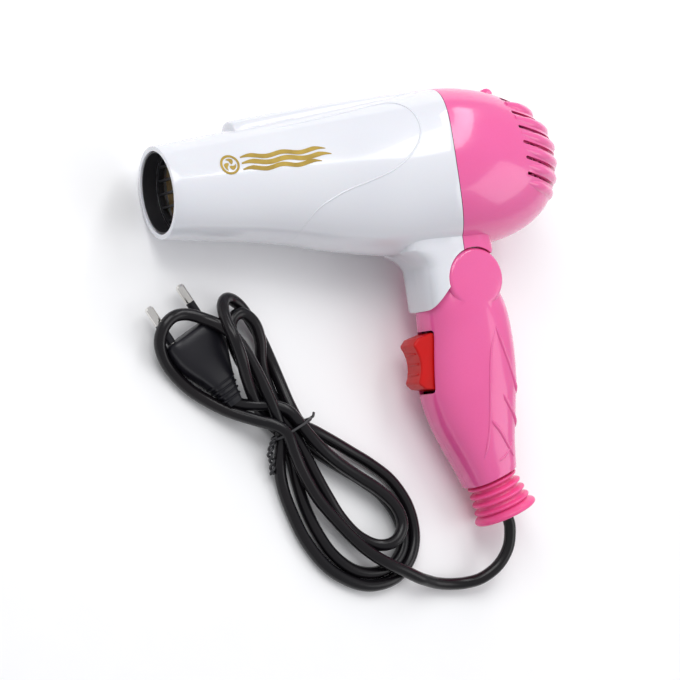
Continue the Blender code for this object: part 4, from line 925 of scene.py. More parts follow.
    def cut_louvres(self, cap: bpy.types.Object) -> None:
        """Cut the inlet slots and round the fins that they leave."""
        count, pitch, width, tilt = 6, 7.1 * MM, 1.5 * MM, math.radians(17)
        start, top, rear = 166 * MM, 14.6 * MM, self.shoulder + self.rear_length
        blade = block("louvre_blade", (0, -width / 2, -60 * MM), (90 * MM, width / 2, 60 * MM))
        self.soften(blade, width * 0.45, 5, lambda p: abs(p.x) < 1e-5 and abs(p.z) < 50 * MM)
        for i in range(count):
            y = top - pitch * i + (rear - start) * math.tan(tilt)
            cutter = duplicate(blade, f"louvre_{i}")
            cutter.matrix_world = Matrix.Translation((start, y, 0)) @ Matrix.Rotation(-tilt, 4, "Z")
            pick(cutter)
            bpy.ops.object.transform_apply()
            combine(cap, "DIFFERENCE", cutter)
        bpy.data.objects.remove(blade)

        def on_fin(point: Vector) -> bool:
            """Tell whether a point lies on the outer edge of a slot."""
            if point.x < start - 1 * MM or point.x > rear:
                return False
            ring = self.section(min(point.x, rear - 0.05 * MM))
            reach = ring.up if point.y > ring.middle else ring.down
            share = math.hypot((point.y - ring.middle) / max(reach, 1e-6), point.z / max(ring.side, 1e-6))
            return abs(share - 1) < 0.035 or point.x > rear - 0.6 * MM

        self.soften(cap, 0.5 * MM, 3, on_fin, 40)
        for i in range(-1, count):
            self.fin_ridge(i + 2, top - pitch * (i + 0.5) + (rear - start) * math.tan(tilt), start, tilt)

    def fin_ridge(self, number: int, level: float, start: float, tilt: float) -> None:
        """Lay the rounded crest of one fin round the rear of the cap.

        Args:
            number: Number of the fin, from the top.
            level: Height of its middle plane where the louvres start.
            start: Where the louvres start along the barrel.
            tilt: Slant of the fins.
        """
        def height(x: float) -> float:
            """Return the fin's height at x."""
            return level - (x - start) * math.tan(tilt)

        low, high = start, self.shoulder + self.rear_length - 0.01 * MM
        for _ in range(40):
            x = (low + high) / 2
            low, high = (x, high) if self.side_at(x, height(x)) > 0 else (low, x)
        steps, sunk, radius = 14, 2.0 * MM, 2.85 * MM
        quarter = []
        for k in range(steps + 1):
            x = start + 1.5 * MM + (low - start - 1.5 * MM) * math.sin(math.pi / 2 * k / steps)
            quarter.append(Vector((x, height(x), self.side_at(x, height(x)))))
        quarter[-1].z = 0
        middle = Vector((self.shoulder, height(self.shoulder), 0))
        points = [p - (p - middle).normalized() * sunk for p in quarter]
        chain = points + [Vector((p.x, p.y, -p.z)) for p in reversed(points[:-1])]
        last = len(chain) - 1
        shares = [min(1.0, 0.62 + 3.4 * min(k, last - k) / last) for k in range(last + 1)]
        crest = as_mesh(strand(f"louvre_fin_{number}", chain, radius, 4, shares))
        settle(shade(crest, 50), DRYER, Body.BARREL, PINK)


def prism(name: str, outline: Sequence[tuple[float, float]], low: float, high: float) -> bpy.types.Object:
    """Thicken a flat outline, as a start or a cutter for other pieces.

    Args:
        name: Name of the solid.
        outline: Its corners in X and Y.
        low: Its lower side along Z.
        high: Its upper side along Z.

    Returns:
        The solid, with its faces outwards.
    """
    deselect_all()
    bpy.ops.mesh.primitive_circle_add(vertices=len(outline), radius=1, fill_type="NGON")
    made = bpy.context.object
    made.name = made.data.name = name
    bpy.ops.object.mode_set(mode="EDIT")
    mesh = edit_mesh()
    mesh.verts.ensure_lookup_table()
    ordered = mesh.faces[:][0].verts[:]
    for vert, (x, y) in zip(ordered, outline):
        vert.co = Vector((x, y, low))
    bmesh.update_edit_mesh(made.data)
    bpy.ops.mesh.select_all(action="SELECT")
    bpy.ops.mesh.extrude_region_move(TRANSFORM_OT_translate={"value": (0, 0, high - low)})
    bpy.ops.mesh.select_all(action="SELECT")
    bpy.ops.mesh.normals_make_consistent(inside=False)
    bpy.ops.object.mode_set(mode="OBJECT")
    return made


# --- raised line and gold motif ----------------------------------------------------------------
def smooth_chain(points: Sequence[Sequence[float]], steps: int) -> list[Vector]:
    """Return points on a smooth curve through the given ones.

    Args:
        points: Points that the curve passes through.
        steps: Steps between two of them.

    Returns:
        The points of the curve, from the first to the last.
    """
    last = len(points) - 1
    chain = []
    for i in range(last):
        before, start, end, after = (Vector(points[min(max(i + k, 0), last)]) for k in (-1, 0, 1, 2))
        for step in range(steps):
            t = step / steps
            chain.append(0.5 * (2 * start + (end - before) * t
                                + (2 * before - 5 * start + 4 * end - after) * t**2
                                + (3 * start - before - 3 * end + after) * t**3))
    chain.append(Vector(points[-1]))
    return chain


def strand(name: str, points: Sequence[Vector], radius: float, resolution: int = 3,
           radii: Sequence[float] | None = None) -> bpy.types.Object:
    """Lay a round strand along a chain of points, as a curve of one open spline.

    Args:
        name: Name of the strand.
        points: The points of its centreline.
        radius: Its radius.
        resolution: Steps in a quarter of its section.
        radii: Share of the radius at each point, where it isn't even.

    Returns:
        The curve object.
    """
    data = bpy.data.curves.new(name, "CURVE")
    data.dimensions = "3D"
    data.bevel_depth = radius
    data.bevel_resolution = resolution
    data.use_fill_caps = True
    spline = data.splines.new("POLY")
    spline.points.add(len(points) - 1)
    for i, (point, place) in enumerate(zip(spline.points, points)):
        point.co = (*place, 1)
        point.radius = radii[i] if radii else 1.0
    made = bpy.data.objects.new(name, data)
    bpy.context.scene.collection.objects.link(made)
    return made


def as_mesh(obj: bpy.types.Object) -> bpy.types.Object:
    """Turn a curve into a welded mesh."""
    pick(obj)
    bpy.ops.object.convert(target="MESH")
    return outward(bpy.context.object)


@dataclass
class BarrelTrim:
    """Raised line on both sides of the barrel, and the gold motif on the side that is up.

    Attributes:
        shell: The barrel whose surface they follow.
        line: Points of the raised line in the side view, in millimetres.
        line_radius: Radius of the raised line.
        motif_start: Front end of the motif's middle line, in millimetres.
        motif_end: Its rear end.
    """

    shell: BarrelShell
    line: tuple[tuple[float, float], ...]
    line_radius: float = 0.55 * MM
    motif_start: tuple[float, float] = (23.0, 6.9)
    motif_end: tuple[float, float] = (73.0, 6.3)
    film: float = 0.12 * MM

    def on_shell(self, x: float, y: float, lift: float) -> Vector:
        """Return the point of the shell above a point of its side view, lifted off it."""
        return Vector((x, y, self.shell.side_at(x, y) + lift))

    def build(self) -> None:
        """Build the raised line on both sides, and the motif."""
        flat = smooth_chain([(x * MM, y * MM, 0) for x, y in self.line], 8)
        points = [self.on_shell(p.x, p.y, -0.25 * MM) for p in flat]
        last = len(points) - 1
        shares = [min(1.0, 0.25 + 6 * min(i, last - i) / last) for i in range(last + 1)]
        for sign, side in ((1, "near"), (-1, "far")):
            turned = [Vector((p.x, p.y, sign * p.z)) for p in points]
            line = as_mesh(strand(f"swoosh_line_{side}", turned, self.line_radius, 3, shares))
            settle(shade(line, 60), DRYER, Body.BARREL, WHITE)
        self.motif()

    def film_on_shell(self, obj: bpy.types.Object) -> None:
        """Lay a flat mesh on the shell and give it the thickness of a foil."""
        pick(obj)
        bpy.ops.object.mode_set(mode="EDIT")
        mesh = edit_mesh()
        for vert in mesh.verts:
            vert.co.z = self.shell.side_at(vert.co.x, vert.co.y) + 0.04 * MM
        bmesh.update_edit_mesh(obj.data)
        bpy.ops.mesh.select_all(action="SELECT")
        bpy.ops.mesh.normals_make_consistent(inside=False)
        bpy.ops.object.mode_set(mode="OBJECT")
        if obj.data.polygons[0].normal.z < 0:
            obj.data.flip_normals()
        apply_modifier(obj, "SOLIDIFY", thickness=self.film, offset=1.0)
        settle(shade(obj, 40), DRYER, Body.BARREL, GOLD)

    def motif(self) -> None:
        """Build three stacked air waves behind a ring with a small whirl."""
        start, end = (Vector((x * MM, y * MM)) for x, y in (self.motif_start, self.motif_end))
        along = (end - start).normalized()
        across = Vector((-along.y, along.x))
        for row, (front, rear, width) in enumerate(((9.0, 48.0, 1.9), (9.0, 50.0, 2.1), (9.0, 45.0, 1.9))):
            deselect_all()
            bpy.ops.mesh.primitive_grid_add(x_subdivisions=72, y_subdivisions=2, size=2)
            wave = bpy.context.object
            wave.name = wave.data.name = f"air_wave_{row + 1}"
            bpy.ops.object.mode_set(mode="EDIT")
            mesh = edit_mesh()
            for vert in mesh.verts:
                share = (vert.co.x + 1) / 2
                reach = (front + (rear - front) * share) * MM
                taper = min(1.0, 5 * share + 0.3, 6 * (1 - share) + 0.15)
                rise = (1 - row) * 2.7 * MM + 0.55 * MM * math.sin(share * math.tau * 2.5)
                rise += vert.co.y * width / 2 * MM * taper
                place = start + along * reach + across * rise
                vert.co = Vector((place.x, place.y, 0))
            bmesh.update_edit_mesh(wave.data)
            bpy.ops.object.mode_set(mode="OBJECT")
            self.film_on_shell(wave)
        centre = start + along * 3.6 * MM
        self.disc("motif_ring", centre, 3.3 * MM, 4.3 * MM, 0, math.tau)
        for i in range(3):
            turn = math.tau * i / 3
            self.disc(f"motif_blade_{i + 1}", centre, 0.6 * MM, 2.7 * MM, turn, 1.25)

    def disc(self, name: str, centre: Vector, inner: float, outer: float, turn: float, span: float) -> None:
        """Build a ring, or a curved blade where the span is less than a full turn.

        Args:
            name: Name of the piece.
            centre: Centre in the side view.
            inner: Inner radius.
            outer: Outer radius.
            turn: Angle at which it starts.
            span: Angle that it covers.
        """
        steps = 48 if span > 6 else 12
        deselect_all()
        bpy.ops.mesh.primitive_grid_add(x_subdivisions=steps, y_subdivisions=3, size=2)
        piece = bpy.context.object
        piece.name = piece.data.name = name
        bpy.ops.object.mode_set(mode="EDIT")
        mesh = edit_mesh()
        for vert in mesh.verts:
            radius = inner + (outer - inner) * (vert.co.y + 1) / 2
            swirl = 0 if span > 6 else 0.9 * (vert.co.y + 1) / 2
            angle = turn + swirl + span * (vert.co.x + 1) / 2
            vert.co = Vector((centre.x + radius * math.cos(angle), centre.y + radius * math.sin(angle), 0))
        bmesh.update_edit_mesh(piece.data)
        bpy.ops.mesh.select_all(action="SELECT")
        bpy.ops.mesh.remove_doubles(threshold=0.001 * MM)
        bpy.ops.object.mode_set(mode="OBJECT")
        self.film_on_shell(piece)


# --- handle ------------------------------------------------------------------------------------
@dataclass
class Handle:
    """Pink handle in two halves with its knuckle, window and grip ridges.

    Attributes:
        stations: Height, front, rear and share of the half width, in millimetres.
        half_width: Half of its thickness.
        end: Centre of the slanted bottom face.
        tilt: Slant of that face and of the cord's exit.
    """

    stations: tuple[tuple[float, float, float, float], ...] = (
        (-54, 124.5, 152.6, 0.93), (-61, 119, 155.3, 0.97), (-68, 117.2, 157.9, 1), (-77, 116.6, 159.2, 1),
        (-90, 114.5, 159.4, 1), (-103.6, 113, 158.2, 1), (-111, 114, 156.6, 0.98), (-120, 116.5, 154.8, 0.95),
        (-129.4, 120.3, 152.8, 0.9), (-138.5, 124.3, 151.8, 0.84), (-150, 128.8, 150.6, 0.76))
    half_width: float = 16.4 * MM
    end: tuple[float, float] = (139.9 * MM, -144.3 * MM)
    tilt: float = math.radians(17)
    wall: float = 2 * MM
    cavity_top: float = -67.5 * MM
    knuckle_half_width: float = 16 * MM
    squareness: float = 0.85

    @property
    def down(self) -> Vector:
        """Direction in which the cord leaves."""
        return Vector((math.sin(self.tilt), -math.cos(self.tilt), 0))

    def row(self, y: float) -> tuple[float, float, float]:
        """Return front, rear and half width at a height, on a smooth curve through the stations."""
        rows = [(-r[0] * MM, r[1] * MM, r[2] * MM, r[3]) for r in self.stations]
        at = min(max(-y, rows[0][0]), rows[-1][0])
        last = len(rows) - 2
        i = max(k for k in range(last + 1) if k == 0 or rows[k][0] <= at)
        near = (rows[max(i - 1, 0)], rows[i], rows[i + 1], rows[min(i + 2, last + 1)])
        span = near[2][0] - near[1][0]
        t = (at - near[1][0]) / span
        values = []
        for column in (1, 2, 3):
            low = (near[2][column] - near[0][column]) / (near[2][0] - near[0][0]) * span
            high = (near[3][column] - near[1][column]) / (near[3][0] - near[1][0]) * span
            values.append((2 * t**3 - 3 * t**2 + 1) * near[1][column] + (t**3 - 2 * t**2 + t) * low
                          + (3 * t**2 - 2 * t**3) * near[2][column] + (t**3 - t**2) * high)
        return values[0], values[1], values[2] * self.half_width

    def side_at(self, x: float, y: float) -> float:
        """Return how far the surface lies out to the side at a point of the side view."""
        front, rear, width = self.row(y)
        share = min(1.0, abs(x - (front + rear) / 2) / ((rear - front) / 2))
        cos = share ** (1 / self.squareness)
        return width * max(0.0, 1 - cos * cos) ** (self.squareness / 2)

    def solid(self, top: float, inset: float) -> bpy.types.Object:
        """Build the handle's solid from a height down, inset from the surface."""
        bottom = self.stations[-1][0] * MM
        steps = 30
        rings = []
        for i in range(steps + 1):
            y = top + (bottom - top) * i / steps
            front, rear, width = self.row(y)
            reach = (rear - front) / 2 - inset
            rings.append(Ring(-y, (front + rear) / 2, reach, reach, width - inset))
        made = Loft("handle_start", 80, self.squareness).build(rings)
        made.matrix_world = Matrix(((0, 1, 0, 0), (-1, 0, 0, 0), (0, 0, 1, 0), (0, 0, 0, 1)))
        pick(made)
        bpy.ops.object.transform_apply()
        return outward(made)

    def past_face(self, back: float) -> bpy.types.Object:
        """Build the cutter for what lies past the bottom face, moved back by some length."""
        made = block("past_face", (-60 * MM, -60 * MM, 0), (60 * MM, 60 * MM, 80 * MM))
        centre = Vector((*self.end, 0)) - self.down * back
        made.matrix_world = (Matrix.Translation(centre)
                             @ self.down.to_track_quat("Z", "Y").to_matrix().to_4x4())
        pick(made)
        bpy.ops.object.transform_apply()
        return made

    def build(self, shell: BarrelShell) -> None:
        """Build both halves, and the ridges of the grip.

        Args:
            shell: The barrel, for the place of the hinge.
        """
        pivot = Vector((*shell.pivot, 0))
        gap = shell.gap
        body = self.solid(self.stations[0][0] * MM, 0)
        inner = self.solid(self.cavity_top, self.wall)
        combine(inner, "DIFFERENCE", self.past_face(self.wall))
        stop_top, stop_bottom = Vector((126.6 * MM, -56.5 * MM, 0)), Vector((116 * MM, -67.8 * MM, 0))
        side = (stop_top - stop_bottom).normalized()
        out = Vector((-side.y, side.x, 0)) * gap
        away = [stop_bottom - side * 30 * MM - out, stop_top - out, Vector((pivot.x, stop_top.y + 2 * MM, 0)),
                pivot + Vector((30 * MM, -1 * MM + 2 * MM, 0)), Vector((pivot.x + 30 * MM, 0, 0)),
                Vector((pivot.x - 90 * MM, 0, 0))]
        combine(body, "DIFFERENCE", prism("above_stop", [(p.x, p.y) for p in away], -60 * MM, 60 * MM))
        reach = Vector((0, 0, self.knuckle_half_width))
        knuckle = rod("knuckle", shell.knuckle, pivot - reach, pivot + reach, 128)
        shell.soften(knuckle, 2.2 * MM, 5)
        combine(body, "UNION", knuckle)
        combine(body, "DIFFERENCE", inner, self.past_face(0))
        ear = Vector((0, 0, 6.4 * MM))
        far = Vector((0, 0, 14.5 * MM))
        down, end = self.down, Vector((*self.end, 0))
        window = block("window", (98 * MM, -103.3 * MM, -7.9 * MM), (122.6 * MM, -75.5 * MM, 7.9 * MM))
        shell.soften(window, 1.6 * MM, 3, lambda p: abs(abs(p.y + 89.4 * MM) - 13.9 * MM) < 1e-5
                     and abs(abs(p.z) - 7.9 * MM) < 1e-5)
        rooms = [rod("lug_room", shell.knuckle + 1 * MM, pivot - ear, pivot + ear, 96),
                 rod("ear_bore", 2.6 * MM, pivot - far, pivot + far, 40),
                 rod("relief_hole", 8.3 * MM, end - down * 10 * MM, end + down * 10 * MM, 64), window]
        for place in ((152 * MM, -77 * MM), (122.6 * MM, -117 * MM)):
            rooms.append(rod("screw_room", 2.9 * MM, (*place, -60 * MM), (*place, -6.6 * MM), 40))
        combine(body, "DIFFERENCE", *rooms)
        shell.soften(body, 0.5 * MM, 3)
        for sign, name in ((1, "near"), (-1, "far")):
            half = duplicate(body, f"handle_shell_{name}")
            shell.halve(half, sign)
            settle(shade(half, 32), DRYER, Body.HANDLE, PINK, [f"handle_{name}_half"])
        bpy.data.objects.remove(body)
        self.ridges()

    def ridges(self) -> None:
        """Lay the crease and the three slanting grip ridges on both sides."""
        lines = (
            ("grip_crease",
             ((145.4, -77.3), (141.0, -89.0), (138.4, -101.1), (136.6, -113.2), (135.2, -122.0),
                             (133.0, -130.5), (130.9, -136.4)), 0.7),
            ("grip_ridge_1",
             ((145.4, -77.3), (147.6, -85.5), (150.4, -94.7), (153.2, -103.9), (155.0, -109.0)), 0.95),
            ("grip_ridge_2", ((144.4, -108.3), (147.0, -113.0), (149.9, -117.8), (152.6, -124.0)), 0.95),
            ("grip_ridge_3", ((136.4, -118.7), (140.0, -123.6), (143.7, -130.4), (147.4, -137.0)), 0.95),
            ("grip_ridge_4", ((137.7, -137.6), (141.0, -136.0), (144.6, -133.0), (148.0, -129.0)), 0.6),
        )
        for name, points, radius in lines:
            flat = smooth_chain([(x * MM, y * MM, 0) for x, y in points], 8)
            last = len(flat) - 1
            shares = [min(1.0, 0.2 + 5 * min(i, last - i) / last) for i in range(last + 1)]
            for sign, side in ((1, "near"), (-1, "far")):
                raised = [Vector((p.x, p.y, sign * (self.side_at(p.x, p.y) - 0.22 * MM))) for p in flat]
                ridge = as_mesh(strand(f"{name}_{side}", raised, radius * MM, 3, shares))
                settle(shade(ridge, 60), DRYER, Body.HANDLE, PINK)


@dataclass
class StrainRelief:
    """Bellows between the handle and the cord.

    Attributes:
        radius: Radius of its root.
        length: From the handle's end to the flange's outer face.
        flange: Radius of the flange.
        bore: Radius of the hole that the cord passes through.
    """

    radius: float = 8 * MM
    length: float = 18.4 * MM
    flange: float = 14.6 * MM
    bore: float = 2.75 * MM
    ring_heights: tuple[float, ...] = (1.4 * MM, 5.2 * MM, 9.0 * MM, 12.8 * MM)
    points: int = 96

    def build(self, handle: Handle) -> None:
        """Build the bellows at the handle's end.

        Args:
            handle: The handle that it leaves.
        """
        lip = 1.2 * MM
        profile = [(-4.3 * MM, self.radius + 1.9 * MM), (-2.3 * MM, self.radius + 1.9 * MM),
                   (-2.2 * MM, self.radius)]
        for i, height in enumerate(self.ring_heights):
            core, rim = self.radius + (0.3 + 0.9 * i) * MM, (11.7 + 0.5 * i) * MM
            profile += [(height - 0.5 * MM, core), (height + 0.1 * MM, rim - 0.25 * MM),
                        (height + lip / 2, rim),
                        (height + lip, rim - 0.3 * MM), (height + lip + 0.6 * MM, core + 0.4 * MM)]
        profile += [(self.length - 2.0 * MM, self.flange - 0.4 * MM), (self.length - 1.4 * MM, self.flange),
                    (self.length - 0.5 * MM, self.flange), (self.length, self.flange - 0.7 * MM),
                    (self.length - 0.1 * MM, self.bore + 2.4 * MM),
                    (self.length - 1.0 * MM, self.bore + 0.7 * MM),
                    (self.length - 1.2 * MM, self.bore), (-4.3 * MM, self.bore)]
        made = Loft("bellows", self.points).build([round_ring(at, radius) for at, radius in profile],
                                                  closed=False)
        pick(made)
        bpy.ops.object.mode_set(mode="EDIT")
        mesh = edit_mesh()
        ends = [edge for edge in mesh.edges if len(edge.link_faces) == 1]
        for item in (*mesh.verts, *mesh.edges, *mesh.faces):
            item.select = False
        for edge in ends:
            edge.select = True
        bmesh.update_edit_mesh(made.data)
        bpy.ops.mesh.bridge_edge_loops()
        bpy.ops.object.mode_set(mode="OBJECT")
        turn = handle.down.to_track_quat("X", "Z").to_matrix().to_4x4()
        made.matrix_world = Matrix.Translation(Vector((*handle.end, 0))) @ turn
        pick(made)
        bpy.ops.object.transform_apply()
        outward(made)
        apply_modifier(made, "BEVEL", width=0.22 * MM, segments=2, limit_method="ANGLE",
                       angle_limit=math.radians(35), use_clamp_overlap=True)
        settle(shade(made, 50), DRYER, Body.HANDLE, RUBBER, ["strain_relief"])


@dataclass
class Rocker:
    """Red rocker with a dipped, stippled face and small raised marks.

    Attributes:
        soften: Width of its rounded edges.
        mark_count: Raised bars in the dip.
    """

    soften: float = 0.7 * MM
    mark_count: int = 3

    def build(self) -> None:
        """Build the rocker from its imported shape, with softened edges and grip bars."""
        button = refined("rocker_button", "rocker_cap", self.soften, 3, 24)
        settle(button, TABLE, Body.ROCKER, RED, ["rocker_button"])
        for i in range(self.mark_count):
            y = (-89.4 + (i - (self.mark_count - 1) / 2) * 4.6) * MM
            bar = block(f"rocker_bar_{i + 1}", (109.0 * MM, y - 0.55 * MM, -4.6 * MM),
                        (111.4 * MM, y + 0.55 * MM, 4.6 * MM))
            share = (y + 89.4 * MM) / (8.6 * MM)
            pick(bar)
            bpy.ops.object.mode_set(mode="EDIT")
            bpy.ops.mesh.select_all(action="SELECT")
            move((0.75 * MM - share * share * 2.4 * MM, 0, 0))
            bpy.ops.mesh.bevel(offset=0.4 * MM, segments=3, affect="EDGES")
            bpy.ops.object.mode_set(mode="OBJECT")
            settle(shade(bar, 60), DRYER, Body.ROCKER, RED)


# --- cord, tie and plug ------------------------------------------------------------------------
@dataclass
class MainsCord:
    """Cord from the strain relief through the tied hank to the plug.

    Attributes:
        radius: Half its diameter.
        lead: Its first points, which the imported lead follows, in millimetres.
        passes: Runs of the hank from one passage of the waist to the next, in millimetres.
        waist: Middle of the tied waist.
        across: Direction across the waist.
        layout: Place of each passage across the waist, and its height, in millimetres.
    """

    radius: float = 2.7 * MM
    lead: tuple[tuple[float, float, float], ...] = (
        (51.15, -94.2, 15.0), (52.2, -100.4, 14.2), (50.3, -109.1, 12.3), (44.9, -116.1, 9.6),
        (37.0, -120.2, 6.8), (29.5, -121.0, 4.6), (21.5, -120.2, 3.6), (14.0, -118.6, 4.3),
        (8.0, -116.7, 6.2), (2.8, -114.8, 8.1))
    waist: tuple[float, float] = (-46.0, -41.0)
    across: tuple[float, float] = (0.9404, 0.3401)
    layout: dict[str, tuple[float, float]] = field(default_factory=lambda: {
        "outer_left": (-5.6, 7.75), "second_left": (-2.8, 2.9), "lead": (-5.8, 13.0), "inner_left": (0, 7.75),
        "inner_right": (2.8, 12.0), "second_right": (2.8, 2.9), "outer_right": (5.6, 7.75)})
    runs: tuple[tuple[str, tuple[tuple[float, float, float], ...]], ...] = (
        ("lead", ((-4.5, -110.6, 9.2), (-11.5, -106.6, 9.4), (-18.4, -101.2, 8.8), (-24.9, -94.3, 8.2),
                  (-32.5, -84.5, 8.4), (-40.3, -72.9, 9.0), (-46.0, -60.6, 10.4), (-49.2, -51.2, 12.0))),
        ("outer_left", ((-56.4, -38.4, 11.8), (-64.6, -34.4, 9.4), (-76.2, -27.6, 5.6), (-88.6, -17.4, 3.4),
                        (-97.4, -6.6, 4.4), (-101.6, 2.6, 8.0), (-100.2, 9.6, 11.0), (-95.0, 13.9, 12.4),
                        (-88.0, 14.2, 12.6), (-81.4, 11.2, 14.0), (-75.8, 7.4, 16.2), (-70.4, 2.2, 16.6),
                        (-65.2, -4.8, 15.0), (-61.0, -13.0, 13.4), (-57.4, -21.6, 12.0),
                        (-54.0, -31.6, 10.2))),
        ("outer_right", ((-53.8, -54.4, 5.6), (-53.4, -64.8, 3.4), (-51.1, -76.8, 2.9), (-47.0, -89.9, 2.9),
                         (-39.2, -102.7, 2.9), (-28.2, -111.1, 2.9), (-17.8, -114.4, 2.9),
                         (-6.2, -113.0, 2.9),
                         (2.6, -107.0, 2.9), (7.4, -99.2, 2.9), (8.9, -90.2, 2.9), (7.4, -80.2, 2.9),
                         (1.8, -69.6, 2.9), (-6.8, -61.4, 3.2), (-16.4, -54.6, 4.2), (-25.6, -48.8, 6.2),
                         (-33.8, -43.8, 7.6))),
        ("second_left", ((-43.6, -31.4, 7.0), (-44.8, -22.0, 5.0), (-46.6, -10.8, 3.6), (-49.6, 0.6, 3.6),
                         (-53.8, 9.8, 4.6), (-59.2, 16.8, 6.8), (-65.8, 19.4, 10.0), (-71.2, 15.8, 14.4),
                         (-73.4, 8.2, 18.8), (-72.8, 0.2, 21.6), (-70.2, -8.4, 19.6), (-66.4, -17.0, 14.0),
                         (-61.2, -26.0, 8.0), (-55.2, -34.6, 3.8))),
        ("second_right", ((-46.0, -53.6, 2.9), (-45.4, -64.6, 2.9), (-44.0, -75.6, 2.9), (-40.6, -87.0, 2.9),
                          (-35.2, -97.6, 3.0), (-27.0, -105.6, 3.0), (-17.4, -108.8, 3.0),
                          (-7.8, -107.6, 3.0),
                          (-0.6, -102.4, 3.0), (2.6, -94.4, 3.0), (1.2, -85.0, 2.9), (-4.4, -75.4, 2.9),
                          (-13.0, -67.6, 2.9), (-22.8, -60.2, 2.9), (-32.0, -52.8, 2.9),
                          (-38.6, -46.4, 2.9))),
        ("inner_left", ((-47.4, -30.2, 2.9), (-50.6, -19.6, 2.9), (-52.0, -9.6, 4.2), (-52.4, -0.4, 7.6),
                        (-54.8, 7.6, 9.4), (-60.0, 12.2, 9.8), (-65.4, 10.0, 9.8), (-67.2, 2.6, 9.4),
                        (-65.2, -6.6, 8.6), (-61.0, -15.6, 7.8), (-56.0, -24.6, 7.2), (-50.8, -33.4, 7.4))),
        ("inner_right", ((-41.8, -52.0, 7.6), (-38.6, -61.6, 7.4), (-34.0, -72.2, 6.4), (-28.4, -82.4, 4.6),
                         (-21.6, -91.6, 4.4), (-13.4, -97.4, 6.2), (-5.2, -97.0, 8.2), (-0.2, -90.6, 8.6),
                         (-1.6, -82.2, 8.6), (-8.2, -74.0, 8.6), (-17.6, -66.4, 8.8), (-27.6, -58.4, 9.8),
                         (-36.4, -49.8, 11.4))),
        ("plug", ((-47.4, -33.6, 11.4), (-53.6, -29.6, 9.4), (-60.8, -28.4, 7.9), (-66.8, -27.2, 7.3))),
    )
    tail_end: tuple[float, float, float] = (-71.4, -25.2, 7.2)
    steps: int = 6

    def at_waist(self, name: str) -> tuple[float, float, float]:
        """Return the point where a run passes the tie."""
        aside, height = self.layout[name]
        return (self.waist[0] + self.across[0] * aside, self.waist[1] + self.across[1] * aside, height)

    def route(self) -> list[Vector]:
        """Return the smoothed centreline, in metres."""
        points: list[tuple[float, float, float]] = list(self.lead)
        for name, run in self.runs:
            points.extend(run)
            points.append(self.tail_end if name == "plug" else self.at_waist(name))
        return smooth_chain([tuple(value * MM for value in point) for point in points], self.steps)

    def build(self, plug_pieces: Sequence[bpy.types.Object | str]) -> None:
        """Args:
            plug_pieces: What is on its far end; not used.
        """
        chain = self.route()
        length = sum((b - a).length for a, b in zip(chain, chain[1:]))
        LOG.info("cord: %.3f m in %d points", length, len(chain))
        cord = strand("mains_cord", chain, self.radius, 5)
        cord.data.materials.append(CORD.material())
        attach(cord, Body.HANDLE.value)
        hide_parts("cord_lead", "cord_hank")
        2 * self.radius


@dataclass
class TwistTie:
    """Thin wire tie round the waist of the hank, with its ends twisted together.

    Attributes:
        wire: Radius of the wire.
        half_width: Half the width of the band.
        low: Underside of the hank.
        high: Its top.
    """

    wire: float = 0.62 * MM
    half_width: float = 9.6 * MM
    low: float = 0.9 * MM
    high: float = 15.2 * MM

    def build(self, cord: MainsCord) -> None:
        """Build the band, its loose end and the twisted tail.

        Args:
            cord: The cord whose waist it holds.
        """
        middle = Vector((cord.waist[0] * MM, cord.waist[1] * MM, (self.low + self.high) / 2))
        across = Vector((*cord.across, 0))
        along = Vector((-across.y, across.x, 0))
        rise = (self.high - self.low) / 2
        points = []
        for i in range(97):
            angle = math.tau * (i / 96) * 1.06 - 0.12
            cos, sin = math.cos(angle), math.sin(angle)
            points.append(middle + across * (-self.half_width * math.copysign(abs(cos) ** 0.7, cos))
                          + Vector((0, 0, rise * math.copysign(abs(sin) ** 0.8, sin)))
                          + along * (0.9 * MM * (i / 96 - 0.5)))
        band = as_mesh(strand("tie_band", points, self.wire, 3))
        settle(shade(band, 60), TABLE, Body.HANDLE, BLACK, ["cord_tie"])
        start = middle - across * self.half_width
        tail = smooth_chain([start, start + Vector((-0.0016, -0.0022, -0.001)),
                             start + Vector((-0.0032, -0.0062, -0.0015)),
                             start + Vector((-0.0020, -0.0102, -0.003)),
                             start + Vector((-0.0030, -0.0146, -0.0036))], 10)
        for turn in (0.0, math.pi):
            twisted = []
            for i, point in enumerate(tail):
                angle = i / len(tail) * math.tau * 3.2 + turn
                spread = (0.95 * MM * min(1.0, 6 * i / len(tail) + 0.1)
                          * min(1.0, 4 * (1 - i / len(tail)) + 0.4))
                twisted.append(point + Vector((math.cos(angle) * spread, 0, math.sin(angle) * spread)))
            piece = as_mesh(strand(f"tie_tail_{int(turn > 0) + 1}", twisted, self.wire, 3))
            settle(shade(piece, 60), TABLE, Body.HANDLE, BLACK)
        end = middle + across * self.half_width
        stub = smooth_chain([end - across * 0.6 * MM, end + across * 1.6 * MM + Vector((0, 0, 0.002)),
                             end + across * 3.4 * MM + along * 1.2 * MM + Vector((0, 0, 0.0016))], 8)
        settle(shade(as_mesh(strand("tie_end", stub, self.wire, 3)), 60), TABLE, Body.HANDLE, BLACK)


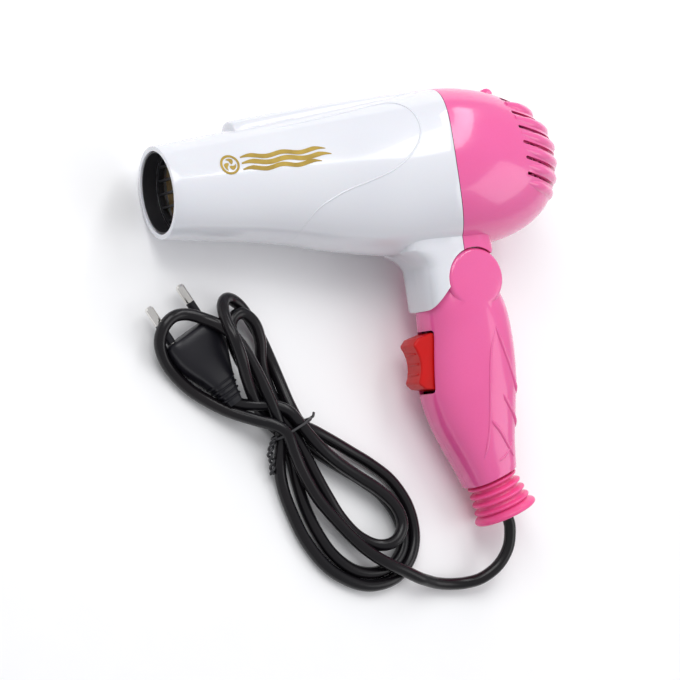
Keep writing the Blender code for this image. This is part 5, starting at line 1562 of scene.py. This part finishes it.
@dataclass
class Plug:
    """Flat two-pin plug with a tapering tail.

    Attributes:
        front: Centre of its front face.
        ahead: Direction in which its pins point.
        stations: Distance behind the front, half width and half thickness, in millimetres.
    """

    front: tuple[float, float, float] = (-87 * MM, 7.2 * MM, 7.2 * MM)
    ahead: tuple[float, float] = (-0.429934, 0.902861)
    stations: tuple[tuple[float, float, float], ...] = (
        (0.0, 12.4, 5.5), (0.35, 12.95, 6.05), (1.0, 13.4, 6.5), (2.0, 13.75, 6.85), (5.0, 13.5, 6.9),
        (9.0, 13.0, 6.9),
        (12.5, 12.0, 6.8), (16.0, 10.6, 6.6), (20.0, 8.7, 6.1), (24.0, 7.0, 5.6), (27.5, 5.6, 4.9),
        (31.0, 4.5, 4.3),
        (34.0, 3.9, 3.8), (37.0, 3.5, 3.5))
    rib_places: tuple[float, ...] = (26.0, 28.6, 31.2, 33.8)

    def place(self) -> Matrix:
        """Matrix of the plug's axes: X to the rear, Y across the table and Z up for its side."""
        behind = -Vector((*self.ahead, 0))
        up = Vector((0, 0, 1))
        side = behind.cross(up)
        turn = Matrix((behind, up, side)).transposed().to_4x4()
        return Matrix.Translation(self.front) @ turn

    def build(self) -> list[bpy.types.Object]:
        """Build the body and its strain ribs.

        Returns:
            The plug's own pieces.
        """
        rings = [Ring(b * MM, 0, h * MM, h * MM, w * MM) for b, w, h in self.stations]
        body = Loft("plug_shell", 64, 0.5).build(rings)
        outward(body)
        settle(shade(body, 40), self.place(), Body.HANDLE, PLUG, ["plug_body"])
        pieces = [body]
        for i, behind in enumerate(self.rib_places):
            t = (behind - 24.0) / 13.0
            width, height = (7.0 - 3.3 * t + 0.2) * MM, (5.6 - 1.9 * t + 0.25) * MM
            half = 0.65 * MM
            rib = Loft(f"plug_rib_{i + 1}", 48, 0.6).build([
                Ring(behind * MM - half, 0, height - 0.5 * MM, height - 0.5 * MM, width - 0.5 * MM),
                Ring(behind * MM - half * 0.4, 0, height, height, width),
                Ring(behind * MM + half * 0.4, 0, height, height, width),
                Ring(behind * MM + half, 0, height - 0.5 * MM, height - 0.5 * MM, width - 0.5 * MM)])
            outward(rib)
            pieces.append(settle(shade(rib, 50), self.place(), Body.HANDLE, PLUG))
        return pieces


# --- table, light and camera -------------------------------------------------------------------
def build_stage() -> None:
    """Lay the pale floor, light it softly and place the camera."""
    deselect_all()
    bpy.ops.mesh.primitive_plane_add(size=8, location=(0, 0, -0.0004))
    floor = bpy.context.object
    floor.name = "floor"
    paper = bpy.data.materials.new("pale_paper")
    paper.use_nodes = True
    tree = paper.node_tree
    shader = tree.nodes["Principled BSDF"]
    place = node(tree, "ShaderNodeTexCoord", output="Object")
    fibres = node(tree, "ShaderNodeTexNoise", None, {"Vector": place, "Scale": 60.0, "Detail": 4.0})
    colour = blend_colours(tree, fibres, (0.93, 0.93, 0.94, 1), (0.96, 0.96, 0.965, 1))
    tree.links.new(colour.socket, shader.inputs["Base Color"])
    shader.inputs["Roughness"].default_value = 0.9
    floor.data.materials.append(paper)
    world = bpy.data.worlds.new("studio")
    bpy.context.scene.world = world
    world.use_nodes = True
    backdrop = world.node_tree.nodes["Background"]
    backdrop.inputs["Color"].default_value = (0.97, 0.975, 1.0, 1)
    backdrop.inputs["Strength"].default_value = 0.60
    lamps = (
        ("key_softbox", (-0.35, 0.55, 0.95), 0.55, 0.8, 5.0),
        ("fill_softbox", (0.75, -0.45, 0.75), 0.7, 0.7, 2.4),
        ("top_strip", (0.30, 0.55, 0.6), 0.16, 0.9, 2.2),
    )
    for name, where, width, height, power in lamps:
        data = bpy.data.lights.new(name, "AREA")
        data.shape = "RECTANGLE"
        data.size, data.size_y, data.energy = width, height, power
        lamp = bpy.data.objects.new(name, data)
        bpy.context.scene.collection.objects.link(lamp)
        lamp.matrix_world = Matrix.Translation(where) @ (Vector((0, 0, 0.02)) - Vector(where)).to_track_quat(
            "-Z", "Y").to_matrix().to_4x4()
    bpy.context.scene.view_settings.view_transform = "Standard"
    add_camera()


def add_camera() -> None:
    """Place the camera, well above the table and in front of the nozzle."""
    data = bpy.data.cameras.new("camera")
    data.lens, data.sensor_width = 143.7, 36.0
    data.clip_start, data.clip_end = 0.05, 20
    camera = bpy.data.objects.new("camera", data)
    bpy.context.scene.collection.objects.link(camera)
    forward = Vector((0.52393, 0.11005, -0.84462)).normalized()
    up = Vector((0.11399, 0.97364, 0.19758))
    right = forward.cross(up).normalized()
    up = right.cross(forward)
    turn = Matrix((right, up, -forward)).transposed().to_4x4()
    camera.matrix_world = Matrix.Translation((-0.64432, -0.13774, 1.02677)) @ turn
    bpy.context.scene.camera = camera


SWOOSH = ((56.1, -28.4), (59.2, -22.4), (64.0, -16.5), (71.5, -12.5), (78.5, -9.9), (87.8, -7.6),
          (99.8, -3.9),
          (110.2, 2.9), (116.2, 11.0), (117.2, 19.1), (115.0, 24.4), (110.0, 26.6), (101.0, 26.0),
          (90.0, 24.6),
          (76.0, 23.0), (61.8, 21.6), (50.0, 20.6))


def main() -> None:
    """Build every sub-assembly in order and report the pieces."""
    logging.basicConfig(level=logging.INFO, format="%(message)s")
    build_stage()
    cord, plug = MainsCord(), Plug()
    pieces = plug.build()
    cord.build([*pieces, "plug_pin_left", "plug_pin_right", "pin_sleeve_left", "pin_sleeve_right"])
    TwistTie().build(cord)
    shell = BarrelShell()
    spare = shell.build()
    BarrelTrim(shell, SWOOSH).build()
    bpy.data.objects.remove(spare)
    handle = Handle()
    handle.build(shell)
    StrainRelief().build(handle)
    Rocker().build()
    dress_packed_nodes()


if __name__ == "__main__":
    main()
